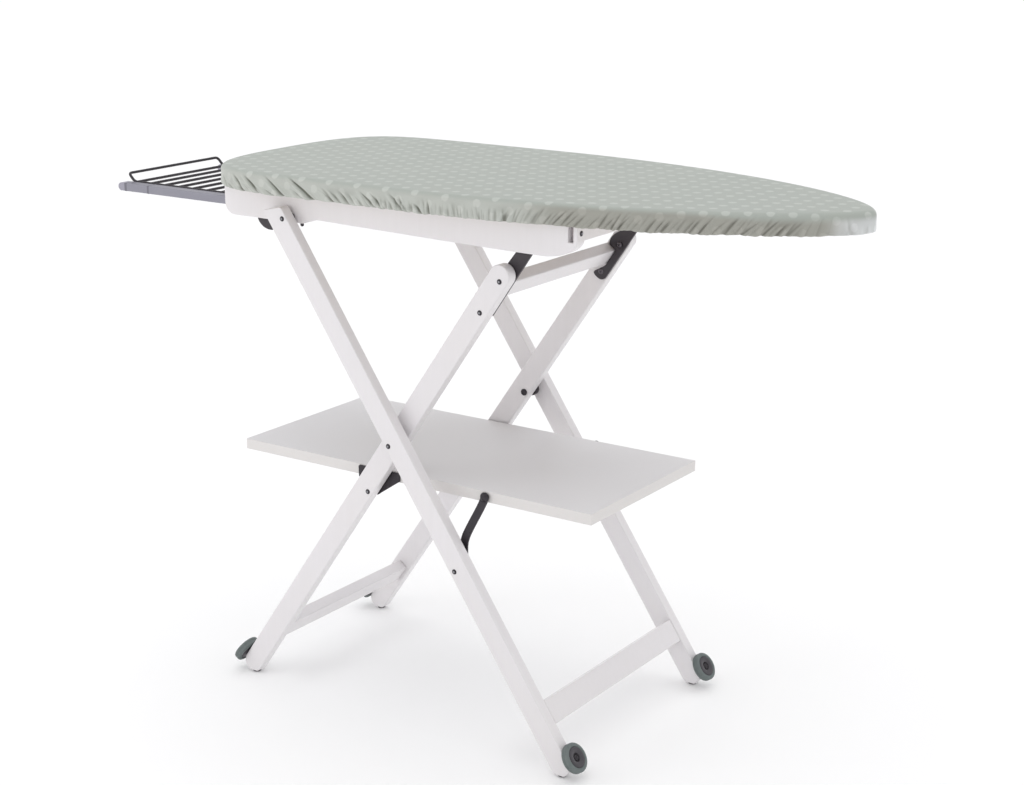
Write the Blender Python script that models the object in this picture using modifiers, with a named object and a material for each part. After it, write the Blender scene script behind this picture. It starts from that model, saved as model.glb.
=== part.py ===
"""Folding wooden ironing board with a laundry shelf, an iron rest and four wheels.

The board runs along X with its nose at +X, stands on the floor at Z = 0 and is symmetric about Y = 0.
The outer leg frame leans to the heel, the inner leg frame leans to the nose, and they cross like an X.
Every length is in metres.  "u" runs up along a leg and "v" across it, towards the nose.
"""
import math

import bmesh
import bpy
from mathutils import Matrix, Vector

# ---------------------------------------------------------------- driving dimensions
FIT = 0.0003                      # gap between faces that touch
SIDES = (("front", -1), ("back", 1))

PLACE_X = -0.0085                 # moves the finished object so that its box is centred
BOARD_NOSE_X = 0.684
BOARD_HEEL_X = -0.409
BOARD_HALF_WIDTH = 0.236
PANEL_Z = (0.8600, 0.8790)
PADDING_Z = (0.8793, 0.8872)
COVER_THICKNESS = 0.0012
COVER_TOP_Z = 0.8902
COVER_HEM_Z = 0.8575
COVER_HEM_WIDTH = 0.004

LEG_WIDTH = 0.036
LEG_THICKNESS = 0.020
OUTER_FACE_Y = 0.216              # outer faces of the outer legs
INNER_FACE_Y = 0.1855             # outer faces of the inner legs
OUTER_FOOT = (0.305, 0.0194)      # centres of the rounded leg ends, X and Z
OUTER_TOP = (-0.229, 0.812)
INNER_FOOT = (-0.349, 0.0194)
INNER_TOP = (0.1728, 0.7665)

BOARD_PIVOT = (-0.221, 0.8175)
CROSSING = (-0.017, 0.478)
SHELF_PIVOT = (-0.0845, 0.382)
LINK_PIVOT = (0.109, 0.296)
LINK_END = (0.1310, 0.4080)
LATCH_BOLT = (0.174, 0.759)

LATCH_Y = (0.1595, 0.1645)

RAIL_Y = (0.1715, 0.1915)
RAIL_X = (-0.364, 0.314)
RAIL_BOTTOM_Z = 0.808
RAIL_TOP_Z = PANEL_Z[0] - FIT
RAIL_SLOT_X = (0.2980, 0.3065)
RAIL_SLOT_Z = 0.833

SHELF_X = (-0.366, 0.324)
SHELF_HALF_WIDTH = 0.161
SHELF_Z = (0.399, 0.417)

WHEEL_RADIUS = 0.024
WHEEL_WIDTH = 0.0125
WHEEL_GAP = 0.0025                # from the leg's edge to the wheel
HUB_RADIUS = 0.0170
AXLE_RADIUS = 0.003
GLIDE_RADIUS = 0.007
GLIDE_HEIGHT = 0.0027

TUBE_Y = 0.125
TUBE_Z = 0.817
TUBE_SIZE = (0.020, 0.014)        # width along Y, height along Z
TUBE_WALL = 0.0015
TUBE_X = (-0.650, -0.163)
REST_END_X = -0.667
WIRE_RADIUS = 0.0025
WIRE_Y = 0.112
WIRE_Z = 0.8235
GRID_X = (-0.649, -0.376)
GRID_BARS = 9
STOP_RISE = 0.0135                # the raised end of the wire grid

LINK_INSIDE_Y = 0.1636            # middle of the strap beside the shelf
LINK_OUTSIDE_Y = 0.1900           # middle of the strap between the two legs
LINK_THICKNESS = 0.003
LINK_BOW = 0.007                  # how far the strap's knee stands off the line between its holes

BOLT_RADIUS = 0.003
BORE_RADIUS = BOLT_RADIUS + FIT

WHITE = (0.80, 0.78, 0.79)
LAMINATE = (0.78, 0.76, 0.73)
BLACK = (0.035, 0.030, 0.035)
TYRE_GREY = (0.14, 0.16, 0.16)
STEEL_GREY = (0.30, 0.29, 0.32)
SAGE = (0.44, 0.50, 0.44)
FELT = (0.62, 0.60, 0.55)
BIRCH = (0.62, 0.50, 0.34)


# ---------------------------------------------------------------- scene and materials
def new_collection(name):
    collection = bpy.data.collections.new(name)
    bpy.context.scene.collection.children.link(collection)
    return collection


def make_material(name, colour, roughness, metallic=0.0):
    material = bpy.data.materials.new(name)
    material.use_nodes = True
    shader = material.node_tree.nodes["Principled BSDF"]
    shader.inputs["Base Color"].default_value = (*colour, 1.0)
    shader.inputs["Roughness"].default_value = roughness
    shader.inputs["Metallic"].default_value = metallic
    return material


def add_object(name, mesh, material):
    obj = bpy.data.objects.new(name, mesh)
    obj.data.name = name
    obj.data.materials.clear()
    obj.data.materials.append(material)
    PARTS.objects.link(obj)
    return obj


def mesh_of_curve(curve):
    """A closed mesh of a curve object, with its end caps welded; the curve is removed."""
    bpy.context.scene.collection.objects.link(curve)
    bpy.context.view_layer.update()
    evaluated = curve.evaluated_get(bpy.context.evaluated_depsgraph_get())
    mesh = bpy.data.meshes.new_from_object(evaluated)
    bpy.data.objects.remove(curve, do_unlink=True)
    build = bmesh.new()
    build.from_mesh(mesh)
    bmesh.ops.remove_doubles(build, verts=build.verts, dist=1e-6)
    bmesh.ops.recalc_face_normals(build, faces=build.faces)
    build.to_mesh(mesh)
    build.free()
    return mesh


# ---------------------------------------------------------------- shapes
def arc(centre, radius, start, end, steps):
    """Points on a circle from one angle to another, in degrees."""
    points = []
    for i in range(steps + 1):
        angle = math.radians(start + (end - start) * i / steps)
        points.append((centre[0] + radius * math.cos(angle), centre[1] + radius * math.sin(angle)))
    return points


def flat_mesh(outline, thickness, hole=None):
    """A flat plate in the XY plane; a hole has as many points as the outline."""
    build = bmesh.new()
    rings = []
    for z in (-thickness / 2, thickness / 2):
        rings.append([build.verts.new((x, y, z)) for x, y in outline])
    walls = [rings]
    if hole:
        inner = [[build.verts.new((x, y, z)) for x, y in hole] for z in (-thickness / 2, thickness / 2)]
        walls.append(inner)
        for edge, opening in zip(rings, inner):
            for i in range(len(edge)):
                build.faces.new((edge[i - 1], edge[i], opening[i], opening[i - 1]))
    else:
        for ring in rings:
            build.faces.new(ring)
    for low, high in walls:
        for i in range(len(low)):
            build.faces.new((low[i - 1], low[i], high[i], high[i - 1]))
    bmesh.ops.recalc_face_normals(build, faces=build.faces)
    mesh = bpy.data.meshes.new("plate")
    build.to_mesh(mesh)
    build.free()
    return mesh


def upright_plate(name, outline, y_range, material):
    """A plate whose outline lies in XZ, between two places along Y."""
    obj = add_object(name, flat_mesh(outline, abs(y_range[1] - y_range[0])), material)
    obj.rotation_euler = (math.radians(90), 0.0, 0.0)
    obj.location = (0.0, (y_range[0] + y_range[1]) / 2, 0.0)
    return obj


def level_plate(name, outline, z_range, material):
    """A plate whose outline lies in XY, between two heights."""
    obj = add_object(name, flat_mesh(outline, z_range[1] - z_range[0]), material)
    obj.location = (0.0, 0.0, (z_range[0] + z_range[1]) / 2)
    return obj


def box(name, centre, size, material, tilt=0.0):
    """A box, turned about Y by tilt radians."""
    build = bmesh.new()
    bmesh.ops.create_cube(build, size=1.0)
    bmesh.ops.scale(build, vec=size, verts=build.verts)
    mesh = bpy.data.meshes.new(name)
    build.to_mesh(mesh)
    build.free()
    obj = add_object(name, mesh, material)
    obj.location = centre
    obj.rotation_euler = (0.0, tilt, 0.0)
    return obj


def soften(obj, width, segments=1):
    bevel = obj.modifiers.new("soft edges", "BEVEL")
    bevel.width = width
    bevel.segments = segments
    bevel.limit_method = "ANGLE"
    bevel.angle_limit = math.radians(40)
    return obj


def turned(name, profile, origin, direction, material, steps=12, ring=False):
    """A turned piece: its profile is (radius, height) pairs down its outer side, along direction."""
    mesh = bpy.data.meshes.new(name)
    edges = [(i, i + 1) for i in range(len(profile) - 1)]
    if ring:
        edges.append((len(profile) - 1, 0))
    mesh.from_pydata([(radius, 0.0, height) for radius, height in profile], edges, [])
    obj = add_object(name, mesh, material)
    screw = obj.modifiers.new("turn", "SCREW")
    screw.steps = steps
    screw.render_steps = steps
    screw.use_merge_vertices = True
    screw.merge_threshold = 0.00001
    obj.location = origin
    obj.rotation_euler = Vector(direction).to_track_quat("Z", "Y").to_euler()
    return obj


def bolt(name, place, outer_y, inner_y, side, material, head=0.004, nut=0.006):
    """A bolt along Y with a low domed head outside and a flat nut inside."""
    length = outer_y - inner_y
    profile = [(0.0, 0.0015), (head * 0.7, 0.0012), (head, 0.0004), (head, FIT), (BOLT_RADIUS, FIT),
               (BOLT_RADIUS, -length - FIT), (nut, -length - FIT), (nut, -length - 0.0016),
               (0.0, -length - 0.0016)]
    return turned(name, profile, (place[0], side * outer_y, place[1]), (0, side, 0), material)


def washer(name, place, y_range, radius, side, material):
    low, high = y_range
    profile = [(radius, high), (radius, low), (BORE_RADIUS, low), (BORE_RADIUS, high)]
    return turned(name, profile, (place[0], 0.0, place[1]), (0, side, 0), material, ring=True)


# ---------------------------------------------------------------- cuts
def bore(name, start, end, radius):
    """A round cutter between two points."""
    start = Vector(start)
    end = Vector(end)
    build = bmesh.new()
    bmesh.ops.create_cone(build, cap_ends=True, segments=12, radius1=radius, radius2=radius,
                          depth=(end - start).length)
    mesh = bpy.data.meshes.new(name)
    build.to_mesh(mesh)
    build.free()
    obj = bpy.data.objects.new(name, mesh)
    obj.location = (start + end) / 2
    obj.rotation_euler = (end - start).to_track_quat("Z", "Y").to_euler()
    obj.hide_render = True
    obj.display_type = "WIRE"
    CUTTERS.objects.link(obj)
    return obj


def cross_bore(name, place):
    """A cutter for a bolt hole right through both sides of the board."""
    half = OUTER_FACE_Y + 0.01
    return bore(name, (place[0], -half, place[1]), (place[0], half, place[1]), BORE_RADIUS)


def cut(obj, *cutters):
    for cutter in cutters:
        modifier = obj.modifiers.new(cutter.name, "BOOLEAN")
        modifier.operation = "DIFFERENCE"
        modifier.object = cutter


# ---------------------------------------------------------------- legs
class Leg:
    """The centre line of a leg, with places on it given by u and v."""

    def __init__(self, foot, top, sawn=False):
        self.sawn = sawn
        self.foot = Vector(foot)
        self.top = Vector(top)
        self.length = (self.top - self.foot).length
        self.up = (self.top - self.foot) / self.length
        self.across = Vector((self.up.y, -self.up.x))
        self.tilt = math.atan2(self.up.x, self.up.y)

    def at(self, u, v=0.0):
        return self.foot + self.up * u + self.across * v

    def sawn_head(self):
        """Straight sides up to a slanting top, with small rounded corners."""
        half = LEG_WIDTH / 2
        corners = [(0.0, half), (0.0175, half), (0.0310, -half), (0.0, -half)]
        corners = [self.at(self.length + u, v) for u, v in corners]
        points = [corners[0]]
        for before, corner, after in zip(corners, corners[1:], corners[2:]):
            start = corner + (before - corner).normalized() * 0.005
            end = corner + (after - corner).normalized() * 0.005
            for t in (0.0, 0.25, 0.5, 0.75, 1.0):
                points.append(start * (1 - t) ** 2 + corner * 2 * t * (1 - t) + end * t ** 2)
        return points + [corners[3]]

    def outline(self):
        """A bar with a round or sawn head, a round foot, and a small flat there for its glide."""
        radius = LEG_WIDTH / 2
        lean = 90 - math.degrees(self.tilt)
        half_flat = math.degrees(math.asin((GLIDE_RADIUS + 0.0005) / radius))
        top = self.sawn_head() if self.sawn else arc(self.top, radius, lean - 90, lean + 90, 10)
        foot_left = arc(self.foot, radius, lean + 90, 270 - half_flat, 5)
        foot_right = arc(self.foot, radius, 270 + half_flat, lean + 270, 5)
        return top + foot_left + foot_right


OUTER = Leg(OUTER_FOOT, OUTER_TOP, sawn=True)
INNER = Leg(INNER_FOOT, INNER_TOP)


def leg_bar(name, leg, outer_y, side, material):
    obj = upright_plate(name, leg.outline(), (side * outer_y, side * (outer_y - LEG_THICKNESS)), material)
    return soften(obj, 0.0015)


def stretcher(name, leg, u, v, height, thickness, half_length, material):
    place = leg.at(u, v)
    obj = box(name, (place.x, 0.0, place.y), (thickness, 2 * half_length, height), material, leg.tilt)
    return soften(obj, 0.0015)


def glide(name, leg, outer_y, side, material):
    profile = [(0.0, GLIDE_HEIGHT), (GLIDE_RADIUS, GLIDE_HEIGHT), (GLIDE_RADIUS, 0.0008),
               (GLIDE_RADIUS - 0.0008, 0.0), (0.0, 0.0)]
    place = (leg.foot.x, side * (outer_y - LEG_THICKNESS / 2), 0.0)
    return turned(name, profile, place, (0, 0, 1), material, steps=16)


# ---------------------------------------------------------------- wheels
def wheel_frame(leg, edge, outer_y, side):
    """The point on the leg's narrow edge where a wheel sits, and the way its axle points."""
    place = leg.at(0.001, edge * LEG_WIDTH / 2)
    direction = leg.across * edge
    origin = Vector((place.x, side * (outer_y - LEG_THICKNESS / 2), place.y))
    return origin, Vector((direction.x, 0.0, direction.y))


def wheel(label, leg, edge, outer_y, side, tyre_material, hub_material, steel):
    """A grooved tyre on a dished hub, held by a headed axle screw; returns the moving pieces."""
    origin, direction = wheel_frame(leg, edge, outer_y, side)
    near = WHEEL_GAP
    far = WHEEL_GAP + WHEEL_WIDTH
    rim = HUB_RADIUS + FIT
    tread = WHEEL_RADIUS
    groove = tread - 0.0012
    middle = (near + far) / 2
    tyre_profile = [(rim, far - 0.0005), (tread - 0.003, far), (tread - 0.0005, far - 0.0022),
                    (tread, middle + 0.0016), (groove, middle), (tread, middle - 0.0016),
                    (tread - 0.0005, near + 0.0022), (tread - 0.003, near), (rim, near + 0.0005)]
    hub_profile = [(0.0070, far - 0.0008), (HUB_RADIUS - 0.001, far + 0.0004),
                   (HUB_RADIUS, far - 0.0005), (HUB_RADIUS, near + 0.0005), (0.0075, near),
                   (0.0060, near - 0.0012), (AXLE_RADIUS + FIT, near - 0.0012),
                   (AXLE_RADIUS + FIT, far - 0.0050), (0.0068, far - 0.0050)]
    head = far - 0.0047
    axle_profile = [(0.0, head + 0.0022), (0.0048, head + 0.0018), (0.0056, head),
                    (AXLE_RADIUS, head), (AXLE_RADIUS, -0.018), (0.0, -0.018)]
    tyre = turned("tyre_" + label, tyre_profile, origin, direction, tyre_material, 24, ring=True)
    hub = turned("wheel_hub_" + label, hub_profile, origin, direction, hub_material, 20, ring=True)
    axle = turned("wheel_axle_" + label, axle_profile, origin, direction, steel, 12)
    hole = bore("axle_hole_" + label, origin + direction * 0.01, origin - direction * 0.0185,
                AXLE_RADIUS + FIT)
    return [tyre, hub], axle, hole


# ---------------------------------------------------------------- board
def half_width(x):
    """Half the board's width at x: a rounded square heel and a long bullet nose."""
    if x > 0:
        return BOARD_HALF_WIDTH * max(0.0, 1 - (x / BOARD_NOSE_X) ** 2.0) ** 0.65
    return BOARD_HALF_WIDTH * max(0.0, 1 - (x / BOARD_HEEL_X) ** 8) ** 0.35


def board_outline(inset):
    """The board's outline in XY, moved in by inset, counter-clockwise from the nose."""
    nose = [BOARD_NOSE_X * (1 - (i / 13) ** 2.4) for i in range(14)]
    heel = [BOARD_HEEL_X * (1 - (1 - i / 10) ** 2.6) for i in range(1, 11)]
    stations = nose + heel
    half = [(x, half_width(x)) for x in stations]
    loop = half + [(x, -y) for x, y in reversed(half[1:-1])]
    points = []
    for i, (x, y) in enumerate(loop):
        before = Vector(loop[i - 1])
        after = Vector(loop[(i + 1) % len(loop)])
        along = (after - before).normalized()
        points.append((x - along.y * inset, y + along.x * inset))
    return points


def cover_mesh():
    """The fitted cover: a flat top, rolled edges and a hem turned in under the panel."""
    side_top = COVER_TOP_Z - 0.009
    rows = [(COVER_HEM_WIDTH, COVER_HEM_Z), (0.0015, COVER_HEM_Z), (0.0, COVER_HEM_Z + 0.004),
            (0.0, side_top), (0.004, COVER_TOP_Z - 0.0015), (0.009, COVER_TOP_Z)]
    build = bmesh.new()
    loops = []
    for inset, z in rows:
        loops.append([build.verts.new((x, y, z)) for x, y in board_outline(inset)])
    count = len(loops[0])
    for lower, upper in zip(loops, loops[1:]):
        for i in range(count):
            j = (i + 1) % count
            build.faces.new((lower[i], lower[j], upper[j], upper[i]))
    build.faces.new(loops[-1])
    bmesh.ops.recalc_face_normals(build, faces=build.faces)
    mesh = bpy.data.meshes.new("board_cover")
    build.to_mesh(mesh)
    build.free()
    return mesh


def rail_outline():
    """A side rail: deep rounded heel end, a small step after the pivot, rounded nose end."""
    left, right = RAIL_X
    bottom = RAIL_BOTTOM_Z
    step_start, step_end, step_rise = -0.205, -0.168, 0.0085
    nose_start, nose_rise = 0.252, 0.028
    points = [(left, RAIL_TOP_Z)] + arc((left + 0.020, bottom + 0.020), 0.020, 180, 270, 5)
    for i in range(6):
        t = i / 5
        rise = step_rise * (1 - math.cos(math.pi * t)) / 2
        points.append((step_start + (step_end - step_start) * t, bottom + rise))
    for i in range(1, 5):
        t = i / 4
        points.append((step_end + (nose_start - step_end) * t, bottom + step_rise * (1 - t) ** 1.3))
    for i in range(1, 9):
        angle = math.radians(90 * i / 8)
        points.append((nose_start + (right - nose_start) * math.sin(angle),
                       bottom + nose_rise * (1 - math.cos(angle))))
    return points + [(right, RAIL_TOP_Z)]


def cross_rail_outline():
    """The nose cross rail in plan: a plank with a tongue at each end that fills the rail's slot."""
    left, right = 0.2935, 0.3115
    tongue_left = RAIL_SLOT_X[0] + FIT
    tongue_right = RAIL_SLOT_X[1] - FIT
    shoulder = RAIL_Y[0] - FIT
    tip = RAIL_Y[1] - 0.005
    right_half = [(right, -shoulder), (right, shoulder), (tongue_right, shoulder), (tongue_right, tip)]
    left_half = [(tongue_left, tip), (tongue_left, shoulder), (left, shoulder), (left, -shoulder)]
    lower = [(tongue_left, -shoulder), (tongue_left, -tip), (tongue_right, -tip),
             (tongue_right, -shoulder)]
    return right_half + left_half + lower


def catch_rail_outline():
    """The catch rail in section: the latch brackets bear on its step and its lip stops them."""
    bearing = 0.8285
    return [(0.200, RAIL_TOP_Z), (0.200, bearing), (0.2395, bearing), (0.2395, bearing - 0.010),
            (0.262, bearing - 0.010), (0.262, RAIL_TOP_Z)]


def hinge_plate_outline():
    """A plate on the rail's inner face with a lobe and a small foot that hang below the rail."""
    lobe = arc((0.0, 0.0), 1.0, 180, 360, 12)
    points = [(-0.2865 + 0.0285 * x, 0.812 + 0.0262 * y) for x, y in lobe]
    points += [(-0.2229, 0.812)] + arc((-0.2199, 0.8012), 0.0030, 180, 360, 6)
    return points + [(-0.2169, 0.812), (-0.206, 0.812), (-0.206, 0.836), (-0.315, 0.836)]


def latch_outline():
    """The latch bracket: a foot, a neck along the leg's nose edge and a head up to the catch rail."""
    level = 0.828
    crossing_u = (Vector(LATCH_BOLT) - INNER.foot).dot(INNER.up)
    head_low = crossing_u - 0.0135
    neck_low = crossing_u - 0.0465

    def head_u(v):
        return (level - INNER.foot.y - INNER.across.y * v) / INNER.up.y

    shape = [(head_u(0.0165), 0.0165), (head_u(-0.005), -0.005), (head_low + 0.031, -0.0085),
             (head_low + 0.016, -0.0142), (head_low + 0.007, -0.0138), (head_low + 0.0015, -0.0105),
             (head_low, -0.006), (head_low, 0.0045), (neck_low + 0.002, 0.0045),
             (neck_low - 0.004, 0.0026), (neck_low - 0.0215, -0.0062), (neck_low - 0.0245, -0.0058),
             (neck_low - 0.0265, -0.001), (neck_low - 0.0265, 0.0080), (neck_low - 0.0245, 0.0125),
             (neck_low - 0.0190, 0.0165)]
    return [tuple(INNER.at(u, v)) for u, v in shape]


# ---------------------------------------------------------------- shelf and links
def shelf_bracket_outline():
    top = SHELF_Z[1] - 0.0015
    lobe = arc(SHELF_PIVOT, 0.011, 215, 320, 5)
    left = [(-0.118, top), (-0.120, top - 0.002), (-0.1195, 0.3965)]
    right = [(-0.036, 0.402), (-0.036, top - 0.004), (-0.040, top)]
    return left + lobe + right


def link_mesh(side):
    """A flat strap from the outer leg to the shelf's edge, with a knee, that slants inwards."""
    pivot = Vector(LINK_PIVOT)
    reach = (Vector(LINK_END) - pivot).length
    along = (Vector(LINK_END) - pivot) / reach
    across = Vector((along.y, -along.x))
    half = 0.007
    bend = (0.45 * reach, 0.96 * reach)
    knee = 0.35 * reach
    rounding = [(s, half * math.sqrt(1 - s * s) + 0.0012) for s in (0.4, 0.8, 1.0)]
    rows = [(-half * s, width) for s, width in reversed(rounding)]
    rows += [(0.0, half), (knee, half), (bend[0], half), (bend[1], half), (reach, half)]
    rows += [(reach + half * s, width) for s, width in rounding]
    build = bmesh.new()
    pairs = []
    for distance, width in rows:
        blend = min(1.0, max(0.0, (distance - bend[0]) / (bend[1] - bend[0])))
        y = side * (LINK_OUTSIDE_Y + (LINK_INSIDE_Y - LINK_OUTSIDE_Y) * blend)
        bow = LINK_BOW * max(0.0, min(distance / knee, (reach - distance) / (reach - knee)))
        ends = [pivot + along * distance + across * (v - bow) for v in (-width, width)]
        pairs.append([build.verts.new((end.x, y, end.y)) for end in ends])
    for (a, b), (c, d) in zip(pairs, pairs[1:]):
        build.faces.new((a, b, d, c))
    bmesh.ops.recalc_face_normals(build, faces=build.faces)
    mesh = bpy.data.meshes.new("link")
    build.to_mesh(mesh)
    build.free()
    return mesh


def shelf_link(label, side, link_bore, steel):
    """The strap with the headed rivet that holds it to the shelf's edge."""
    link = add_object("shelf_link_" + label, link_mesh(side), steel)
    skin = link.modifiers.new("strap", "SOLIDIFY")
    skin.thickness = LINK_THICKNESS
    skin.offset = 0.0
    cut(link, link_bore)
    face = LINK_THICKNESS / 2
    rivet = turned("rivet_" + label, [(0.0, face + 0.0042), (0.0035, face + 0.0038),
                                      (0.0066, face + 0.0022), (0.0078, face), (0.0078, 0.0),
                                      (0.0035, 0.0), (0.0035, -face - 0.0004),
                                      (0.0, -face - 0.0004)],
                   (LINK_END[0], side * LINK_INSIDE_Y, LINK_END[1]), (0, side, 0), steel, 14)
    as_cutter(rivet)
    join = link.modifiers.new("rivet", "BOOLEAN")
    join.operation = "UNION"
    join.object = rivet
    return link


# ---------------------------------------------------------------- iron rest
def tube_mesh():
    """A rectangular steel tube, open at both ends, drawn in section and laid along X."""
    half_width_y, half_height = TUBE_SIZE[0] / 2, TUBE_SIZE[1] / 2
    outlines = []
    for inset in (0.0, TUBE_WALL):
        w = half_width_y - inset
        h = half_height - inset
        outlines.append([(w, -h), (w, h), (-w, h), (-w, -h)])
    return flat_mesh(outlines[0], TUBE_X[1] - TUBE_X[0], outlines[1])


def lay_along_x(obj, x_range, y, z):
    """Turn a section drawn in XY so that it is extruded along X, local X along Y."""
    obj.rotation_euler = Matrix(((0, 0, 1), (1, 0, 0), (0, 1, 0))).to_euler()
    obj.location = ((x_range[0] + x_range[1]) / 2, y, z)
    return obj


def end_cap(label, side, plastic):
    """A plug on the tube's outer end, half round seen from the side."""
    radius = TUBE_SIZE[1] / 2
    joint_x = TUBE_X[0] - FIT
    centre = (REST_END_X + radius, TUBE_Z)
    outline = arc(centre, radius, 90, 270, 10) + [(joint_x, TUBE_Z - radius), (joint_x, TUBE_Z + radius)]
    half = TUBE_SIZE[0] / 2
    return upright_plate("rest_end_cap_" + label, outline, (side * TUBE_Y - half, side * TUBE_Y + half),
                         plastic)


def wire(points):
    """A round wire through the points, as a closed mesh."""
    data = bpy.data.curves.new("wire", "CURVE")
    data.dimensions = "3D"
    data.bevel_depth = WIRE_RADIUS
    data.bevel_resolution = 2
    data.use_fill_caps = True
    spline = data.splines.new("POLY")
    spline.points.add(len(points) - 1)
    for point, place in zip(spline.points, points):
        point.co = (*place, 1.0)
    return mesh_of_curve(bpy.data.objects.new("wire", data))


def wire_grid(steel):
    """One bent wire round three sides, with its end raised as a stop, and bars welded across it."""
    start, end = GRID_X
    stop_x = start - STOP_RISE
    stop_z = WIRE_Z + STOP_RISE
    half = [(end, WIRE_Y, WIRE_Z), (start + 0.004, WIRE_Y, WIRE_Z), (start - 0.001, WIRE_Y, WIRE_Z + 0.001),
            (stop_x, WIRE_Y, stop_z - 0.001), (stop_x - 0.002, WIRE_Y - 0.004, stop_z)]
    other = [(x, -y, z) for x, y, z in reversed(half)]
    grid = add_object("rest_wire_grid", wire(half + other), steel)
    build = bmesh.new()
    spacing = (end - start) / (GRID_BARS - 1)
    turn = Matrix.Rotation(math.radians(90), 4, "X")
    for i in range(GRID_BARS):
        place = Matrix.Translation((start + 0.006 + (spacing - 0.0015) * i, 0.0, WIRE_Z))
        bmesh.ops.create_cone(build, cap_ends=True, segments=8, radius1=0.002, radius2=0.002,
                              depth=2 * WIRE_Y, matrix=place @ turn)
    mesh = bpy.data.meshes.new("grid_bars")
    build.to_mesh(mesh)
    build.free()
    bars = bpy.data.objects.new("grid_bars", mesh)
    CUTTERS.objects.link(bars)
    bars.hide_render = True
    bars.display_type = "WIRE"
    join = grid.modifiers.new("welded bars", "BOOLEAN")
    join.operation = "UNION"
    join.object = bars
    return grid


def channel_outline(side):
    """A C-shaped guide in section, hung from the panel and open towards the middle."""
    top = RAIL_TOP_Z
    shape = [(0.1390, 0.8060), (0.1390, top), (0.1220, top), (0.1220, top - 0.0027),
             (0.1355, top - 0.0027), (0.1355, 0.8270), (0.1180, 0.8270), (0.1180, 0.8243),
             (0.1355, 0.8243), (0.1355, 0.8097), (0.1230, 0.8097), (0.1230, 0.8060)]
    return [(side * y, z) for y, z in shape]


# ---------------------------------------------------------------- assembly
def joint_empty(name, place, y=0.0):
    empty = bpy.data.objects.new(name, None)
    empty.location = (place[0], y, place[1])
    PARTS.objects.link(empty)
    return empty


def hang(parts, empty):
    """Parent pieces to a joint's empty without moving them."""
    for part in parts:
        part.parent = empty
        part.matrix_parent_inverse = Matrix.Translation(-Vector(empty.location))


def place_whole():
    """Move everything, cutters included, by one empty above the joints' empties."""
    whole = joint_empty("ironing_board", (0.0, 0.0))
    for obj in list(PARTS.objects) + list(CUTTERS.objects):
        if obj.parent is None and obj is not whole:
            obj.parent = whole
    whole.location.x = PLACE_X


def slot_cutter():
    """Cuts the open slot in both side rails that takes the cross rail's tongues."""
    slot = box("rail_slot", (sum(RAIL_SLOT_X) / 2, 0.0, RAIL_SLOT_Z + 0.02),
               (RAIL_SLOT_X[1] - RAIL_SLOT_X[0], 0.42, 0.04), MATERIALS["white"])
    as_cutter(slot)
    return slot


def as_cutter(obj):
    PARTS.objects.unlink(obj)
    CUTTERS.objects.link(obj)
    obj.hide_render = True
    obj.display_type = "WIRE"


def build_board(bores):
    panel = soften(level_plate("board_panel", board_outline(0.004), PANEL_Z, MATERIALS["birch"]), 0.001)
    padding = level_plate("board_padding", board_outline(0.008), PADDING_Z, MATERIALS["felt"])
    cover = add_object("board_cover", cover_mesh(), MATERIALS["sage"])
    skin = cover.modifiers.new("cloth", "SOLIDIFY")
    skin.thickness = COVER_THICKNESS
    skin.offset = -1.0
    parts = [panel, padding, cover]
    cross = level_plate("nose_cross_rail", cross_rail_outline(), (RAIL_SLOT_Z + FIT, RAIL_TOP_Z),
                        MATERIALS["white"])
    catch = upright_plate("catch_rail", catch_rail_outline(), (-RAIL_Y[0] + FIT, RAIL_Y[0] - FIT),
                          MATERIALS["white"])
    parts += [cross, catch]
    slot = slot_cutter()
    for label, side in SIDES:
        rail = upright_plate("side_rail_" + label, rail_outline(), (side * RAIL_Y[0], side * RAIL_Y[1]),
                             MATERIALS["white"])
        soften(rail, 0.0015)
        plate_y = (side * (RAIL_Y[0] - FIT), side * (RAIL_Y[0] - 0.0043))
        plate = upright_plate("hinge_plate_" + label, hinge_plate_outline(), plate_y, MATERIALS["black"])
        cut(rail, slot, bores["board_pivot"])
        cut(plate, bores["board_pivot"])
        channel = add_object("rest_channel_" + label, flat_mesh(channel_outline(side), 0.172),
                             MATERIALS["steel"])
        lay_along_x(channel, (-0.352, -0.180), 0.0, 0.0)
        parts += [rail, plate, channel]
    return parts


def build_rest():
    parts = [wire_grid(MATERIALS["black_steel"])]
    for label, side in SIDES:
        tube = add_object("rest_tube_" + label, tube_mesh(), MATERIALS["steel"])
        parts += [lay_along_x(tube, TUBE_X, side * TUBE_Y, TUBE_Z), end_cap(label, side, MATERIALS["grey"])]
    return parts


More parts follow.
